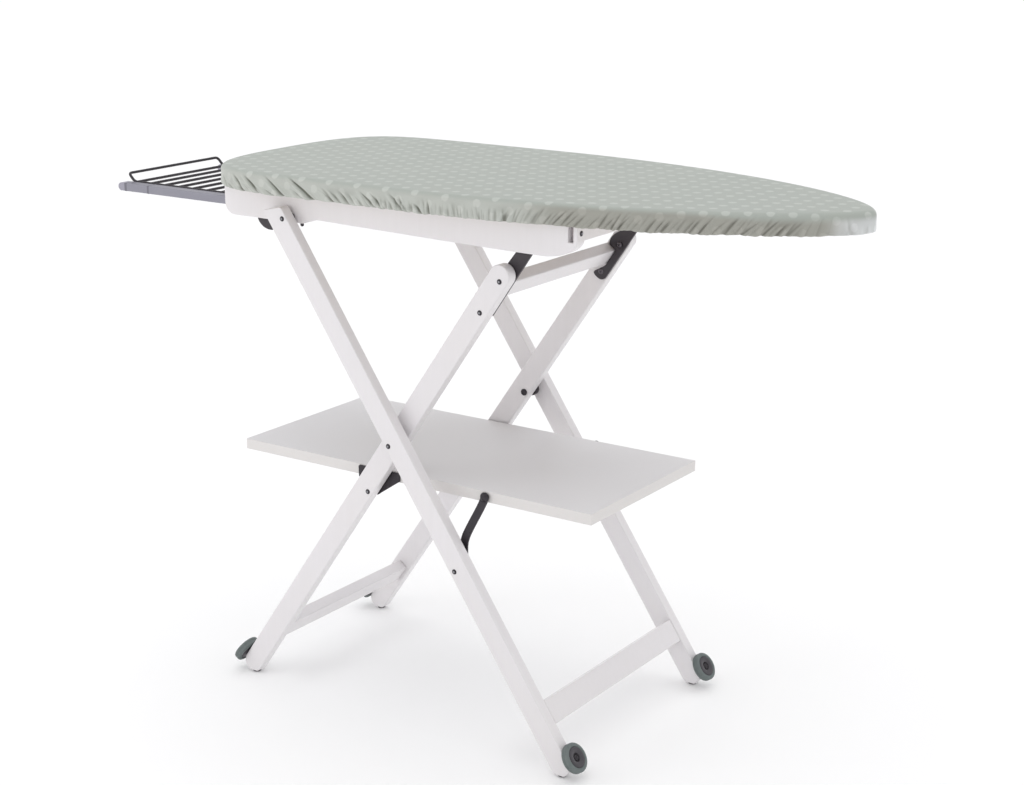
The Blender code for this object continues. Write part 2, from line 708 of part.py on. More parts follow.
def build_outer_frame(bores):
    bar = stretcher("outer_stretcher", OUTER, 0.079, LEG_WIDTH / 2 - 0.0095, 0.040, 0.018,
                    OUTER_FACE_Y - LEG_THICKNESS - FIT, MATERIALS["white"])
    parts = [bar]
    inside = OUTER_FACE_Y - LEG_THICKNESS
    for label, side in SIDES:
        leg = leg_bar("outer_leg_" + label, OUTER, OUTER_FACE_Y, side, MATERIALS["white"])
        cut(leg, bores["board_pivot"], bores["crossing"], bores["link_pivot"])
        parts += [leg, glide("glide_outer_" + label, OUTER, OUTER_FACE_Y, side, MATERIALS["black"])]
        parts.append(bolt("board_pivot_bolt_" + label, BOARD_PIVOT, OUTER_FACE_Y, 0.1669, side,
                          MATERIALS["black_steel"]))
        parts.append(washer("board_pivot_washer_" + label, BOARD_PIVOT,
                            (RAIL_Y[1] + FIT, inside - FIT), 0.006, side, MATERIALS["black"]))
        parts.append(bolt("crossing_bolt_" + label, CROSSING, OUTER_FACE_Y,
                          INNER_FACE_Y - LEG_THICKNESS, side, MATERIALS["black_steel"]))
        parts.append(washer("crossing_washer_" + label, CROSSING,
                            (INNER_FACE_Y + FIT, inside - FIT), 0.011, side, MATERIALS["black"]))
        parts.append(bolt("link_bolt_" + label, LINK_PIVOT, OUTER_FACE_Y, 0.1882, side,
                          MATERIALS["black_steel"], nut=0.005))
    return parts


def build_inner_frame(bores):
    half = INNER_FACE_Y - LEG_THICKNESS - FIT
    bolt_u = (Vector(LATCH_BOLT) - INNER.foot).dot(INNER.up)
    parts = [stretcher("inner_stretcher", INNER, 0.087, 0.002, 0.036, 0.020, half, MATERIALS["white"]),
             stretcher("inner_top_rail", INNER, bolt_u - 0.030, -0.007, 0.030, 0.021, half,
                       MATERIALS["white"])]
    for label, side in SIDES:
        leg = leg_bar("inner_leg_" + label, INNER, INNER_FACE_Y, side, MATERIALS["white"])
        cut(leg, bores["crossing"], bores["shelf_pivot"], bores["latch"])
        bracket = upright_plate("latch_bracket_" + label, latch_outline(),
                                (side * LATCH_Y[1], side * LATCH_Y[0]), MATERIALS["black"])
        cut(bracket, bores["latch"])
        parts += [leg, bracket, glide("glide_inner_" + label, INNER, INNER_FACE_Y, side,
                                      MATERIALS["black"])]
        parts.append(bolt("latch_bolt_" + label, LATCH_BOLT, INNER_FACE_Y, LATCH_Y[0], side,
                          MATERIALS["black_steel"], nut=0.0055))
        parts.append(bolt("shelf_pivot_bolt_" + label, SHELF_PIVOT, INNER_FACE_Y,
                          SHELF_HALF_WIDTH + FIT, side, MATERIALS["black_steel"]))
    return parts


def build_shelf(bores):
    shelf = box("shelf_panel", (sum(SHELF_X) / 2, 0.0, sum(SHELF_Z) / 2),
                (SHELF_X[1] - SHELF_X[0], 2 * SHELF_HALF_WIDTH, SHELF_Z[1] - SHELF_Z[0]),
                MATERIALS["laminate"])
    parts = [soften(shelf, 0.0008)]
    for label, side in SIDES:
        plate_y = (side * (SHELF_HALF_WIDTH + 0.0005), side * (SHELF_HALF_WIDTH + 0.0030))
        bracket = upright_plate("shelf_bracket_" + label, shelf_bracket_outline(), plate_y,
                                MATERIALS["black_steel"])
        cut(bracket, bores["shelf_pivot"])
        parts.append(bracket)
    return parts


def build_wheels():
    """Four wheels on the legs' outer narrow edges; returns the axles for each frame."""
    axles = {"outer": [], "inner": []}
    for frame, leg, edge, face in (("outer", OUTER, 1, OUTER_FACE_Y), ("inner", INNER, -1, INNER_FACE_Y)):
        for label, side in SIDES:
            name = frame + "_" + label
            moving, axle, hole = wheel(name, leg, edge, face, side, MATERIALS["tyre"],
                                       MATERIALS["black"], MATERIALS["black_steel"])
            cut(bpy.data.objects[frame + "_leg_" + label], hole)
            origin = wheel_frame(leg, edge, face, side)[0]
            hang(moving, joint_empty("wheel_joint_" + name, (origin.x, origin.z), origin.y))
            axles[frame].append(axle)
    return axles


def build_all():
    bores = {"board_pivot": cross_bore("board_pivot_bore", BOARD_PIVOT),
             "crossing": cross_bore("crossing_bore", CROSSING),
             "link_pivot": cross_bore("link_pivot_bore", LINK_PIVOT),
             "shelf_pivot": cross_bore("shelf_pivot_bore", SHELF_PIVOT),
             "latch": cross_bore("latch_bore", LATCH_BOLT)}
    outer = build_outer_frame(bores)
    inner = build_inner_frame(bores)
    axles = build_wheels()
    hang(outer + axles["outer"], joint_empty("outer_frame", OUTER_FOOT))
    hang(inner + axles["inner"], joint_empty("inner_frame_joint", CROSSING))
    hang(build_board(bores), joint_empty("board_joint", BOARD_PIVOT))
    hang(build_rest(), joint_empty("rest_joint", (TUBE_X[0], TUBE_Z)))
    hang(build_shelf(bores), joint_empty("shelf_joint", SHELF_PIVOT))
    for label, side in SIDES:
        link = shelf_link(label, side, bores["link_pivot"], MATERIALS["black_steel"])
        hang([link], joint_empty("link_joint_" + label, LINK_PIVOT))
    place_whole()


for existing in list(bpy.data.objects):
    bpy.data.objects.remove(existing, do_unlink=True)
PARTS = new_collection("ironing_board")
CUTTERS = new_collection("cutters")
MATERIALS = {
    "white": make_material("white_lacquer", WHITE, 0.35),
    "laminate": make_material("white_laminate", LAMINATE, 0.40),
    "black": make_material("black_plastic", BLACK, 0.45),
    "black_steel": make_material("black_steel", BLACK, 0.35, 0.6),
    "grey": make_material("grey_plastic", STEEL_GREY, 0.50),
    "steel": make_material("grey_steel", STEEL_GREY, 0.40, 0.8),
    "tyre": make_material("tyre_rubber", TYRE_GREY, 0.60),
    "sage": make_material("sage_cotton", SAGE, 0.90),
    "felt": make_material("felt", FELT, 0.95),
    "birch": make_material("birch_plywood", BIRCH, 0.60),
}
build_all()
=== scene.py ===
"""Photoreal looks for a folding wooden ironing board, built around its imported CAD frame.

Metres, +Z up, nose at +X, symmetric about Y = 0, standing on the floor at Z = 0.
"u" runs up along a leg and "v" across it, towards the nose.
"""
import math

import bmesh
import bpy
import numpy as np
from mathutils import Matrix, Vector


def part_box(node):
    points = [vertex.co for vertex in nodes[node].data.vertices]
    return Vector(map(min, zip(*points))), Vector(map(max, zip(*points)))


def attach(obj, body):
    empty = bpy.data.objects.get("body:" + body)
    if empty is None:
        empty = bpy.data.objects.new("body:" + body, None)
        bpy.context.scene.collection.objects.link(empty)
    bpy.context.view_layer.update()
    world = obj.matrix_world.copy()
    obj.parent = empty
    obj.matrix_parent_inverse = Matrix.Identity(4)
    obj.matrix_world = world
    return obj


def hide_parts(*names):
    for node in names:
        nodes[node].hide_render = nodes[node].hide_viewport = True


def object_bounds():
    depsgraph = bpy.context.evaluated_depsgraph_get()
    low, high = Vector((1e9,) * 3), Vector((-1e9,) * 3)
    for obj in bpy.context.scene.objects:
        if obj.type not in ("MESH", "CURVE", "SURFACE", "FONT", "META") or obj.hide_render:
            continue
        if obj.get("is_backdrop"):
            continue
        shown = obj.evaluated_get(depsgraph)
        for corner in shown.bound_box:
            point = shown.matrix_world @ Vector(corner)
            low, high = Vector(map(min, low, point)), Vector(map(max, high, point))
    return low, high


LABELS = ("front", "back")
SIDES = tuple(zip(LABELS, (-1, 1)))
PLACE = Vector((-0.0085, 0.0, 0.0))       # from this script's measures to the frame's place

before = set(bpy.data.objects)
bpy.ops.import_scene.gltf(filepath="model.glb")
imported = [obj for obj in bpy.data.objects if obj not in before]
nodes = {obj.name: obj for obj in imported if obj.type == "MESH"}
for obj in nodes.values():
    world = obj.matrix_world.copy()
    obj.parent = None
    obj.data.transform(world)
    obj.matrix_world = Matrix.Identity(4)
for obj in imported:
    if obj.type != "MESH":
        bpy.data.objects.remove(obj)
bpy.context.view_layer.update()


# -------------------------------- materials
def srgb(r, g, b):
    """A linear colour from 0-255 display values."""
    def channel(c):
        c /= 255
        return c / 12.92 if c <= 0.04045 else ((c + 0.055) / 1.055) ** 2.4
    return (channel(r), channel(g), channel(b), 1.0)


class Shader:
    """A Principled material with a few helpers for its procedural detail."""

    def __init__(self, name, colour, roughness, metallic=0.0, **extra):
        self.material = bpy.data.materials.new(name)
        self.material.use_nodes = True
        self.tree = self.material.node_tree
        self.shader = self.tree.nodes["Principled BSDF"]
        self.set("Base Color", colour)
        self.set("Roughness", roughness)
        self.set("Metallic", metallic)
        for key, value in extra.items():
            self.set(key.replace("_", " "), value)

    def set(self, socket, value):
        self.shader.inputs[socket].default_value = value

    def node(self, kind, **settings):
        node = self.tree.nodes.new("ShaderNode" + kind)
        for key, value in settings.items():
            setattr(node, key, value)
        return node

    def link(self, output, socket):
        self.tree.links.new(output, socket)

    def coords(self, scale=(1, 1, 1), rotation=(0, 0, 0)):
        source = self.node("TexCoord").outputs["Object"]
        mapping = self.node("Mapping")
        mapping.inputs["Scale"].default_value = scale
        mapping.inputs["Rotation"].default_value = rotation
        self.link(source, mapping.inputs["Vector"])
        return mapping.outputs["Vector"]

    def noise(self, coords, scale, detail=3.0, roughness=0.5):
        noise = self.node("TexNoise")
        noise.inputs["Scale"].default_value = scale
        noise.inputs["Detail"].default_value = detail
        noise.inputs["Roughness"].default_value = roughness
        self.link(coords, noise.inputs["Vector"])
        return noise.outputs["Fac"]

    def ranged(self, value, low, high, start=0.3, end=0.7):
        """The value's stretch from start to end, mapped to low to high."""
        ranged = self.node("MapRange")
        for key, number in (("From Min", start), ("From Max", end), ("To Min", low), ("To Max", high)):
            ranged.inputs[key].default_value = number
        self.link(value, ranged.inputs["Value"])
        return ranged.outputs["Result"]

    def mix(self, factor, first, second):
        """A blend of two colours, each given as a value or as an output."""
        mix = self.node("Mix", data_type="RGBA")
        self.link(factor, mix.inputs[0])
        for socket, value in ((mix.inputs[6], first), (mix.inputs[7], second)):
            if isinstance(value, tuple):
                socket.default_value = value
            else:
                self.link(value, socket)
        return mix.outputs[2]

    def math(self, operation, first, second):
        node = self.node("Math", operation=operation)
        self.link(first, node.inputs[0])
        self.link(second, node.inputs[1])
        return node.outputs[0]

    def colour(self, output):
        self.link(output, self.shader.inputs["Base Color"])

    def roughness(self, output):
        self.link(output, self.shader.inputs["Roughness"])

    def bump(self, *layers):
        """Bump from (height output, distance in metres, strength) layers."""
        normal = None
        for height, distance, strength in layers:
            bump = self.node("Bump")
            bump.inputs["Distance"].default_value = distance
            bump.inputs["Strength"].default_value = strength
            self.link(height, bump.inputs["Height"])
            if normal:
                self.link(normal, bump.inputs["Normal"])
            normal = bump.outputs["Normal"]
        self.link(normal, self.shader.inputs["Normal"])


def lacquer(name, tilt, base=srgb(229, 226, 228)):
    """White lacquer on solid wood: the grain shows only as a faint ripple along the piece."""
    made = Shader(name, base, 0.34, Coat_Weight=0.25, Coat_Roughness=0.18)
    along = made.coords(scale=(14, 14, 0.9), rotation=(0, -tilt, 0))
    grain = made.noise(along, 9.0, 5.0, 0.6)
    blotch = made.noise(made.coords(), 5.0, 2.0)
    dimmer, warmer = [tuple(c * k for c, k in zip(base, scale)) for scale in
                      ((0.955, 0.955, 0.945, 1), (0.975, 0.965, 0.94, 1))]
    tone = made.mix(made.ranged(grain, 0.0, 0.5), base, dimmer)
    made.colour(made.mix(made.ranged(blotch, 0.0, 0.45), tone, warmer))
    made.roughness(made.ranged(grain, 0.30, 0.40))
    peel = made.noise(made.coords(), 420.0, 2.0)
    made.bump((grain, 0.0004, 0.22), (peel, 0.0002, 0.12))
    return made.material


def laminate_top():
    base = srgb(228, 227, 229)
    made = Shader("laminate", base, 0.38, Specular_IOR_Level=0.5)
    pores = made.noise(made.coords(scale=(1, 6, 1)), 260.0, 3.0)
    blotch = made.noise(made.coords(), 4.0, 2.0)
    made.colour(made.mix(made.ranged(blotch, 0.0, 0.5), base, srgb(225, 223, 223)))
    made.roughness(made.ranged(pores, 0.33, 0.45))
    made.bump((pores, 0.0002, 0.12))
    return made.material


def laminate_edge():
    """The glued edge band: a shade warmer."""
    made = Shader("laminate_edge", srgb(221, 218, 216), 0.42)
    pores = made.noise(made.coords(scale=(1, 1, 8)), 120.0, 3.0)
    made.colour(made.mix(made.ranged(pores, 0.0, 0.35), srgb(222, 219, 217), srgb(215, 211, 208)))
    made.bump((pores, 0.0002, 0.15))
    return made.material


def plastic(name, colour, dark, roughness=0.46):
    made = Shader(name, colour, roughness)
    grain = made.noise(made.coords(), 900.0, 2.0)
    cloud = made.noise(made.coords(), 30.0, 3.0)
    made.colour(made.mix(made.ranged(cloud, 0.0, 0.6), colour, dark))
    made.roughness(made.ranged(grain, roughness - 0.06, roughness + 0.08))
    made.bump((grain, 0.0002, 0.30))
    return made.material


def coated_steel(name, colour, light, roughness=0.36, metallic=0.35):
    """Powder coat: orange-peel ripple and slightly rubbed places."""
    made = Shader(name, colour, roughness, metallic)
    peel = made.noise(made.coords(), 620.0, 2.0)
    rub = made.noise(made.coords(), 22.0, 5.0, 0.65)
    made.colour(made.mix(made.ranged(rub, 0.0, 0.5, 0.5, 0.75), colour, light))
    made.roughness(made.ranged(rub, roughness - 0.05, roughness + 0.1))
    made.bump((peel, 0.0002, 0.22))
    return made.material


def rubber():
    made = Shader("tyre_rubber", srgb(104, 112, 111), 0.62)
    grain = made.noise(made.coords(), 700.0, 3.0)
    dust = made.noise(made.coords(), 60.0, 4.0, 0.6)
    dusty = made.ranged(dust, 0.0, 0.6, 0.45, 0.75)
    made.colour(made.mix(dusty, srgb(100, 109, 108), srgb(122, 128, 126)))
    made.roughness(made.ranged(dust, 0.55, 0.72))
    made.bump((grain, 0.0002, 0.35))
    return made.material


def wood_panel():
    """Pale washed plywood, with grain lines along the board."""
    made = Shader("plywood", srgb(214, 206, 194), 0.62)
    rings = made.noise(made.coords(scale=(1.2, 22, 22)), 5.0, 6.0, 0.6)
    fine = made.noise(made.coords(scale=(8, 160, 160)), 4.0, 3.0)
    tone = made.mix(made.ranged(rings, 0.0, 1.0), srgb(219, 212, 201), srgb(203, 193, 178))
    made.colour(made.mix(made.ranged(fine, 0.0, 0.35), tone, srgb(188, 176, 159)))
    made.bump((fine, 0.0003, 0.25))
    return made.material


DOT_PITCH = (0.0545, 0.0290)       # of one lattice; a second one sits half a pitch off it both ways
DOT_RADIUS, DOT_BLUR = 0.0062, 0.0005
SIDE_DOTS = 0.45                   # how strongly the dots show on the side


def dotted_cotton(name, base, dot, worn, shade):
    """Plain weave cotton printed with pale dots, laid out in the cloth's own flat measure.

    The cover's mesh says where the cloth turns to the side, folds in or out, is creased, and the painted
    light and shade on its side; fold valleys and crease lines get painted shade.
    """
    made = Shader(name, base, 0.88, Sheen_Weight=0.22, Sheen_Roughness=0.5)
    uv = made.node("UVMap", uv_map="cloth").outputs["UV"]
    wobble = made.noise(made.coords(), 300.0, 2.0)
    found = []
    for offset in ((0.0, 0.0, 0.0), (0.5, 0.5, 0.0)):
        scaled = made.node("VectorMath", operation="MULTIPLY_ADD")
        made.link(uv, scaled.inputs[0])
        scaled.inputs[1].default_value = (1 / DOT_PITCH[0], 1 / DOT_PITCH[1], 0.0)
        scaled.inputs[2].default_value = offset
        cell = made.node("VectorMath", operation="FRACTION")
        made.link(scaled.outputs[0], cell.inputs[0])
        centred = made.node("VectorMath", operation="MULTIPLY_ADD")
        made.link(cell.outputs[0], centred.inputs[0])
        centred.inputs[1].default_value = (DOT_PITCH[0], DOT_PITCH[1], 0.0)
        centred.inputs[2].default_value = (-DOT_PITCH[0] / 2, -DOT_PITCH[1] / 2, 0.0)
        length = made.node("VectorMath", operation="LENGTH")
        made.link(centred.outputs[0], length.inputs[0])
        found.append(length.outputs["Value"])
    nearest = made.math("MINIMUM", *found)
    ragged = made.math("ADD", nearest, made.ranged(wobble, -DOT_BLUR, DOT_BLUR))
    inside = made.ranged(ragged, 1.0, 0.0, DOT_RADIUS - DOT_BLUR, DOT_RADIUS + DOT_BLUR)
    cloud = made.noise(made.coords(), 9.0, 4.0, 0.6)
    ground = made.mix(made.ranged(cloud, 0.0, 0.7), base, worn)
    slub = made.noise(made.coords(scale=(1, 14, 14)), 90.0, 2.0)
    ground = made.mix(made.ranged(slub, 0.0, 0.10), ground, dot)
    side = made.node("Attribute", attribute_name="side").outputs["Fac"]
    inside = made.math("MULTIPLY", inside, made.ranged(side, 1.0, SIDE_DOTS))
    printed = made.mix(inside, ground, dot)
    # painted shade: fold valleys and crease lines are darkened towards the shade colour
    fold = made.node("Attribute", attribute_name="fold").outputs["Fac"]
    printed = made.mix(made.ranged(fold, 0.75, 0.0, -0.0026, 0.0002), printed, shade)
    crease_shade = made.node("Attribute", attribute_name="crease_shade").outputs["Fac"]
    printed = made.mix(made.ranged(crease_shade, 0.0, 0.55, 0.05, 1.0), printed, shade)
    # painted light: the tint attribute makes the side lighter than the top, darker near the nose and
    # lighter on the tip
    painted_light_mix = made.node("MixRGB", blend_type="MULTIPLY")
    painted_light_mix.inputs[0].default_value = 1.0
    made.link(printed, painted_light_mix.inputs[1])
    made.link(made.node("Attribute", attribute_name="painted_light_tint").outputs["Color"], painted_light_mix.inputs[2])
    made.colour(painted_light_mix.outputs[0])
    warp = made.node("TexWave", wave_type="BANDS", bands_direction="X")
    weft = made.node("TexWave", wave_type="BANDS", bands_direction="Y")
    for wave in (warp, weft):
        wave.inputs["Scale"].default_value = 300.0
        wave.inputs["Distortion"].default_value = 0.6
        made.link(uv, wave.inputs["Vector"])
    weave = made.math("MULTIPLY", warp.outputs["Fac"], weft.outputs["Fac"])
    soft = made.noise(made.coords(), 45.0, 4.0, 0.55)
    made.bump((soft, 0.0008, 0.35), (weave, 0.0002, 0.35))
    return made.material


# about how far the legs lean, so that their grain runs along them
OUTER_TILT = math.atan2(-0.534, 0.7926)
INNER_TILT = math.atan2(0.5235, 0.7496)
LOOKS = {
    "outer": lacquer("lacquer_outer", OUTER_TILT),
    "inner": lacquer("lacquer_inner", INNER_TILT),
    "rails": lacquer("lacquer_rails", math.pi / 2),
    # a darker grey-brown lacquer for the cross rail's tips
    "darker_tips": lacquer("lacquer_darker_tips", 0.0, srgb(186, 178, 181)),
    "laminate": laminate_top(),
    "edge": laminate_edge(),
    "plastic": plastic("black_plastic", srgb(58, 52, 57), srgb(44, 39, 44)),
    "hub": plastic("hub_plastic", srgb(66, 63, 68), srgb(54, 51, 56), 0.4),
    "cap": plastic("grey_plastic", srgb(158, 156, 168), srgb(146, 144, 156)),
    "band": plastic("band_plastic", srgb(116, 114, 124), srgb(104, 102, 112)),
    "black": coated_steel("black_steel", srgb(46, 42, 47), srgb(64, 60, 66), 0.3),
    "steel": coated_steel("grey_steel", srgb(140, 139, 149), srgb(152, 151, 160), 0.36, 0.25),
    "dull": coated_steel("dull_steel", srgb(96, 91, 96), srgb(132, 128, 132), 0.24, 0.8),
    "bright": coated_steel("zinc_steel", srgb(142, 142, 146), srgb(168, 168, 172), 0.3, 0.9),
    "rubber": rubber(),
    "ply": wood_panel(),
    # the cotton's last colour is the painted shade for fold valleys and crease lines
    "cotton": dotted_cotton("dotted_cotton", srgb(170, 176, 169), srgb(190, 195, 188),
                            srgb(173, 178, 170), srgb(98, 100, 90)),
}


# -------------------------------- pieces
def finished(name, mesh, material, body, replaced=(), bevel=0.0, segments=3, limit=40):
    """A shown piece: smooth shaded, its edges rounded, riding on a CAD body."""
    mesh.name = name
    mesh.transform(Matrix.Translation(PLACE))
    obj = bpy.data.objects.new(name, mesh)
    bpy.context.scene.collection.objects.link(obj)
    if not mesh.materials:
        mesh.materials.append(material)
    for polygon in mesh.polygons:
        polygon.use_smooth = True
    if bevel:
        edge = obj.modifiers.new("edges", "BEVEL")
        edge.width = bevel
        edge.segments = segments
        edge.limit_method = "ANGLE"
        edge.angle_limit = math.radians(limit)
        weighted = obj.modifiers.new("normals", "WEIGHTED_NORMAL")
        weighted.keep_sharp = True
        weighted.weight = 100
    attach(obj, body)
    if replaced:
        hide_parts(*replaced)
    return obj


def mesh_from(build):
    bmesh.ops.recalc_face_normals(build, faces=build.faces)
    mesh = bpy.data.meshes.new("piece")
    build.to_mesh(mesh)
    build.free()
    return mesh


def arc(centre, radius, start, end, steps):
    angles = np.radians(np.linspace(start, end, steps + 1))
    return [(centre[0] + radius * math.cos(a), centre[1] + radius * math.sin(a)) for a in angles]


def extruded(outline, low, high, plane="XZ", split=()):
    """A plate: its outline in XZ, XY or YZ, extruded along the third axis; split cuts its two faces."""
    place = {"XZ": lambda a, b, c: (a, c, b), "XY": lambda a, b, c: (a, b, c),
             "YZ": lambda a, b, c: (c, a, b)}[plane]
    build = bmesh.new()
    rings = [[build.verts.new(place(a, b, c)) for a, b in outline] for c in (low, high)]
    for ring in rings:
        build.faces.new(ring)
    for i in range(len(outline)):
        build.faces.new((rings[0][i - 1], rings[0][i], rings[1][i], rings[1][i - 1]))
    for pair in split:
        for ring in rings:
            bmesh.ops.connect_verts(build, verts=[ring[i] for i in pair])
    return mesh_from(build)


def block(centre, size, tilt=0.0):
    build = bmesh.new()
    bmesh.ops.create_cube(build, size=1.0)
    bmesh.ops.scale(build, vec=size, verts=build.verts)
    bmesh.ops.transform(build, matrix=Matrix.Translation(centre) @ Matrix.Rotation(tilt, 4, "Y"),
                        verts=build.verts)
    return mesh_from(build)


def revolved(profile, origin, direction, steps=40, closed=False):
    """A turned piece from (radius, height) pairs, along direction from origin."""
    turn = Matrix.Translation(origin) @ Vector(direction).to_track_quat("Z", "Y").to_matrix().to_4x4()
    build = bmesh.new()
    rings = []
    for radius, height in profile:
        if radius < 1e-7:
            rings.append([build.verts.new(turn @ Vector((0, 0, height)))] * steps)
            continue
        angles = [2 * math.pi * i / steps for i in range(steps)]
        rings.append([build.verts.new(turn @ Vector((radius * math.cos(a), radius * math.sin(a), height)))
                      for a in angles])
    pairs = list(zip(rings, rings[1:]))
    if closed:
        pairs.append((rings[-1], rings[0]))
    for first, second in pairs:
        for i in range(steps):
            corners = [first[i - 1], first[i], second[i], second[i - 1]]
            unique = list(dict.fromkeys(corners))
            if len(unique) > 2:
                build.faces.new(unique)
    return mesh_from(build)


def rod_mesh(paths, radius):
    """Round wires along the given paths, joined in one mesh."""
    data = bpy.data.curves.new("rods", "CURVE")
    data.dimensions = "3D"
    data.bevel_depth = radius
    data.bevel_resolution = 5
    data.use_fill_caps = True
    for path in paths:
        spline = data.splines.new("POLY")
        spline.points.add(len(path) - 1)
        for point, place in zip(spline.points, path):
            point.co = (*place, 1.0)
    holder = bpy.data.objects.new("rods", data)
    bpy.context.scene.collection.objects.link(holder)
    bpy.context.view_layer.update()
    mesh = bpy.data.meshes.new_from_object(holder.evaluated_get(bpy.context.evaluated_depsgraph_get()))
    bpy.data.objects.remove(holder, do_unlink=True)
    return mesh


# -------------------------------- legs
LEG_HALF = 0.018                   # half a leg's width, and the radius of its round ends
FLAT_HALF = 0.0075                 # half the flat under a leg's foot
LATCH_BOLT = (0.174, 0.759)        # X and Z of the latch bracket's upper bolt


class Leg:
    """A leg's centre line between the centres of its rounded ends, in XZ."""

    def __init__(self, foot, top, sawn=False):
        self.foot, self.top, self.sawn = Vector(foot), Vector(top), sawn
        self.length = (self.top - self.foot).length
        self.up = (self.top - self.foot).normalized()
        self.across = Vector((self.up.y, -self.up.x))
        self.tilt = math.atan2(self.up.x, self.up.y)

    def at(self, u, v=0.0):
        return self.foot + self.up * u + self.across * v

    def sawn_head(self):
        """Straight sides up to a slanting top, with small rounded corners."""
        low, high, rounding = 0.0175, 0.0310, 0.005
        corners = [(0.0, LEG_HALF), (low, LEG_HALF), (high, -LEG_HALF), (0.0, -LEG_HALF)]
        corners = [self.at(self.length + u, v) for u, v in corners]
        points = [corners[0]]
        for before, corner, after in zip(corners, corners[1:], corners[2:]):
            start = corner + (before - corner).normalized() * rounding
            end = corner + (after - corner).normalized() * rounding
            points += [start * (1 - t) ** 2 + corner * 2 * t * (1 - t) + end * t ** 2
                       for t in np.linspace(0, 1, 9)]
        return points + [corners[3]]

    def outline(self):
        lean = 90 - math.degrees(self.tilt)
        flat = math.degrees(math.asin(FLAT_HALF / LEG_HALF))
        head = self.sawn_head() if self.sawn else arc(self.top, LEG_HALF, lean - 90, lean + 90, 28)
        return (head
                + arc(self.foot, LEG_HALF, lean + 90, 270 - flat, 12)
                + arc(self.foot, LEG_HALF, 270 + flat, lean + 270, 12))


OUTER = Leg((0.305, 0.0194), (-0.229, 0.812), sawn=True)
INNER = Leg((-0.349, 0.0194), (0.1728, 0.7665))
LATCH_U = (Vector(LATCH_BOLT) - INNER.foot).dot(INNER.up)


def box(node):
    low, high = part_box(node)
    return low - PLACE, high - PLACE


def extent(node, axis):
    low, high = box(node)
    return low[axis], high[axis]


for label in LABELS:
    for name, leg in (("outer", OUTER), ("inner", INNER)):
        node = f"{name}_leg_{label}"
        finished(f"leg_{name}_{label}", extruded(leg.outline(), *extent(node, 1)), LOOKS[name],
                 f"{name}_frame", [node], bevel=0.0022)

# (node, leg, u and v of the bar's middle, height, thickness)
STRETCHERS = (("outer_stretcher", OUTER, 0.079, 0.0085, 0.040, 0.018),
              ("inner_stretcher", INNER, 0.087, 0.002, 0.036, 0.020),
              ("inner_top_rail", INNER, LATCH_U - 0.030, -0.007, 0.030, 0.021))
for node, leg, u, v, height, thickness in STRETCHERS:
    low, high = extent(node, 1)
    place = leg.at(u, v)
    finished(f"bar_{node}", block((place.x, 0, place.y), (thickness, high - low, height), leg.tilt),
             LOOKS["rails"], node.split("_")[0] + "_frame", [node], bevel=0.0022)


# -------------------------------- rails under the board
def rail_outline():
    """A side rail: round at the heel, stepped up past the hinge, curved up at the nose, and notched."""
    left, right, bottom, top = -0.364, 0.314, 0.808, 0.8597
    heel, nose, nose_rise = 0.020, 0.252, 0.028
    start, end, rise = -0.205, -0.168, 0.0085
    notch_left, notch_right, notch_bottom = 0.2980, 0.3065, 0.833
    points = [(left, top)] + arc((left + heel, bottom + heel), heel, 180, 270, 12)
    for t in np.linspace(0, 1, 13):
        points.append((start + (end - start) * t, bottom + rise * (1 - math.cos(math.pi * t)) / 2))
    for t in np.linspace(0, 1, 9)[1:]:
        points.append((end + (nose - end) * t, bottom + rise * (1 - t) ** 1.3))
    for angle in np.radians(np.linspace(0, 90, 17)[1:]):
        points.append((nose + (right - nose) * math.sin(angle),
                       bottom + nose_rise * (1 - math.cos(angle))))
    return points + [(right, top), (notch_right, top), (notch_right, notch_bottom),
                     (notch_left, notch_bottom), (notch_left, top)]


def cross_rail_outline():
    """The rail from above: its narrower tips stand in the side rails' notches."""
    shoulder, tip = 0.1712, 0.1825
    right = [(0.3115, -shoulder), (0.3115, shoulder), (0.3062, shoulder), (0.3062, tip)]
    left = [(0.2983, tip), (0.2983, shoulder), (0.2935, shoulder), (0.2935, -shoulder)]
    return right + left + [(0.2983, -shoulder), (0.2983, -tip), (0.3062, -tip), (0.3062, -shoulder)]


for label in LABELS:
    node = f"side_rail_{label}"
    finished(f"rail_{label}", extruded(rail_outline(), *extent(node, 1), split=((-3, -9), (-2, -11))),
             LOOKS["rails"], "board", [node], bevel=0.0014)
cross_rail = finished("rail_cross", extruded(cross_rail_outline(), *extent("nose_cross_rail", 2), "XY"),
                      LOOKS["rails"], "board", ["nose_cross_rail"], bevel=0.0012)
# the cross rail's tips, standing in the side rails' notches, get the darker grey-brown lacquer
cross_rail.data.materials.append(LOOKS["darker_tips"])
for polygon in cross_rail.data.polygons:
    polygon.material_index = int(abs(polygon.center.y) > 0.180)
CATCH = [(0.200, 0.8597), (0.200, 0.8285), (0.2395, 0.8285), (0.2395, 0.8185), (0.262, 0.8185),
         (0.262, 0.8597)]
finished("rail_catch", extruded(CATCH, *extent("catch_rail", 1)), LOOKS["rails"], "board",
         ["catch_rail"], bevel=0.0015)

# -------------------------------- shelf
low, high = box("shelf_panel")
shelf = finished("shelf_board", block((low + high) / 2, high - low), LOOKS["laminate"], "shelf",
                 ["shelf_panel"], bevel=0.0009, segments=2)
shelf.data.materials.append(LOOKS["edge"])
for polygon in shelf.data.polygons:
    polygon.material_index = 0 if abs(polygon.normal.z) > 0.5 else 1


# -------------------------------- black fittings
def hinge_plate_outline():
    lobe = [(-0.2865 + 0.0285 * x, 0.812 + 0.0262 * y) for x, y in arc((0, 0), 1.0, 180, 360, 30)]
    foot = [(-0.2229, 0.812)] + arc((-0.2199, 0.8012), 0.0030, 180, 360, 14)
    return lobe + foot + [(-0.2169, 0.812), (-0.206, 0.812), (-0.206, 0.836), (-0.315, 0.836)]


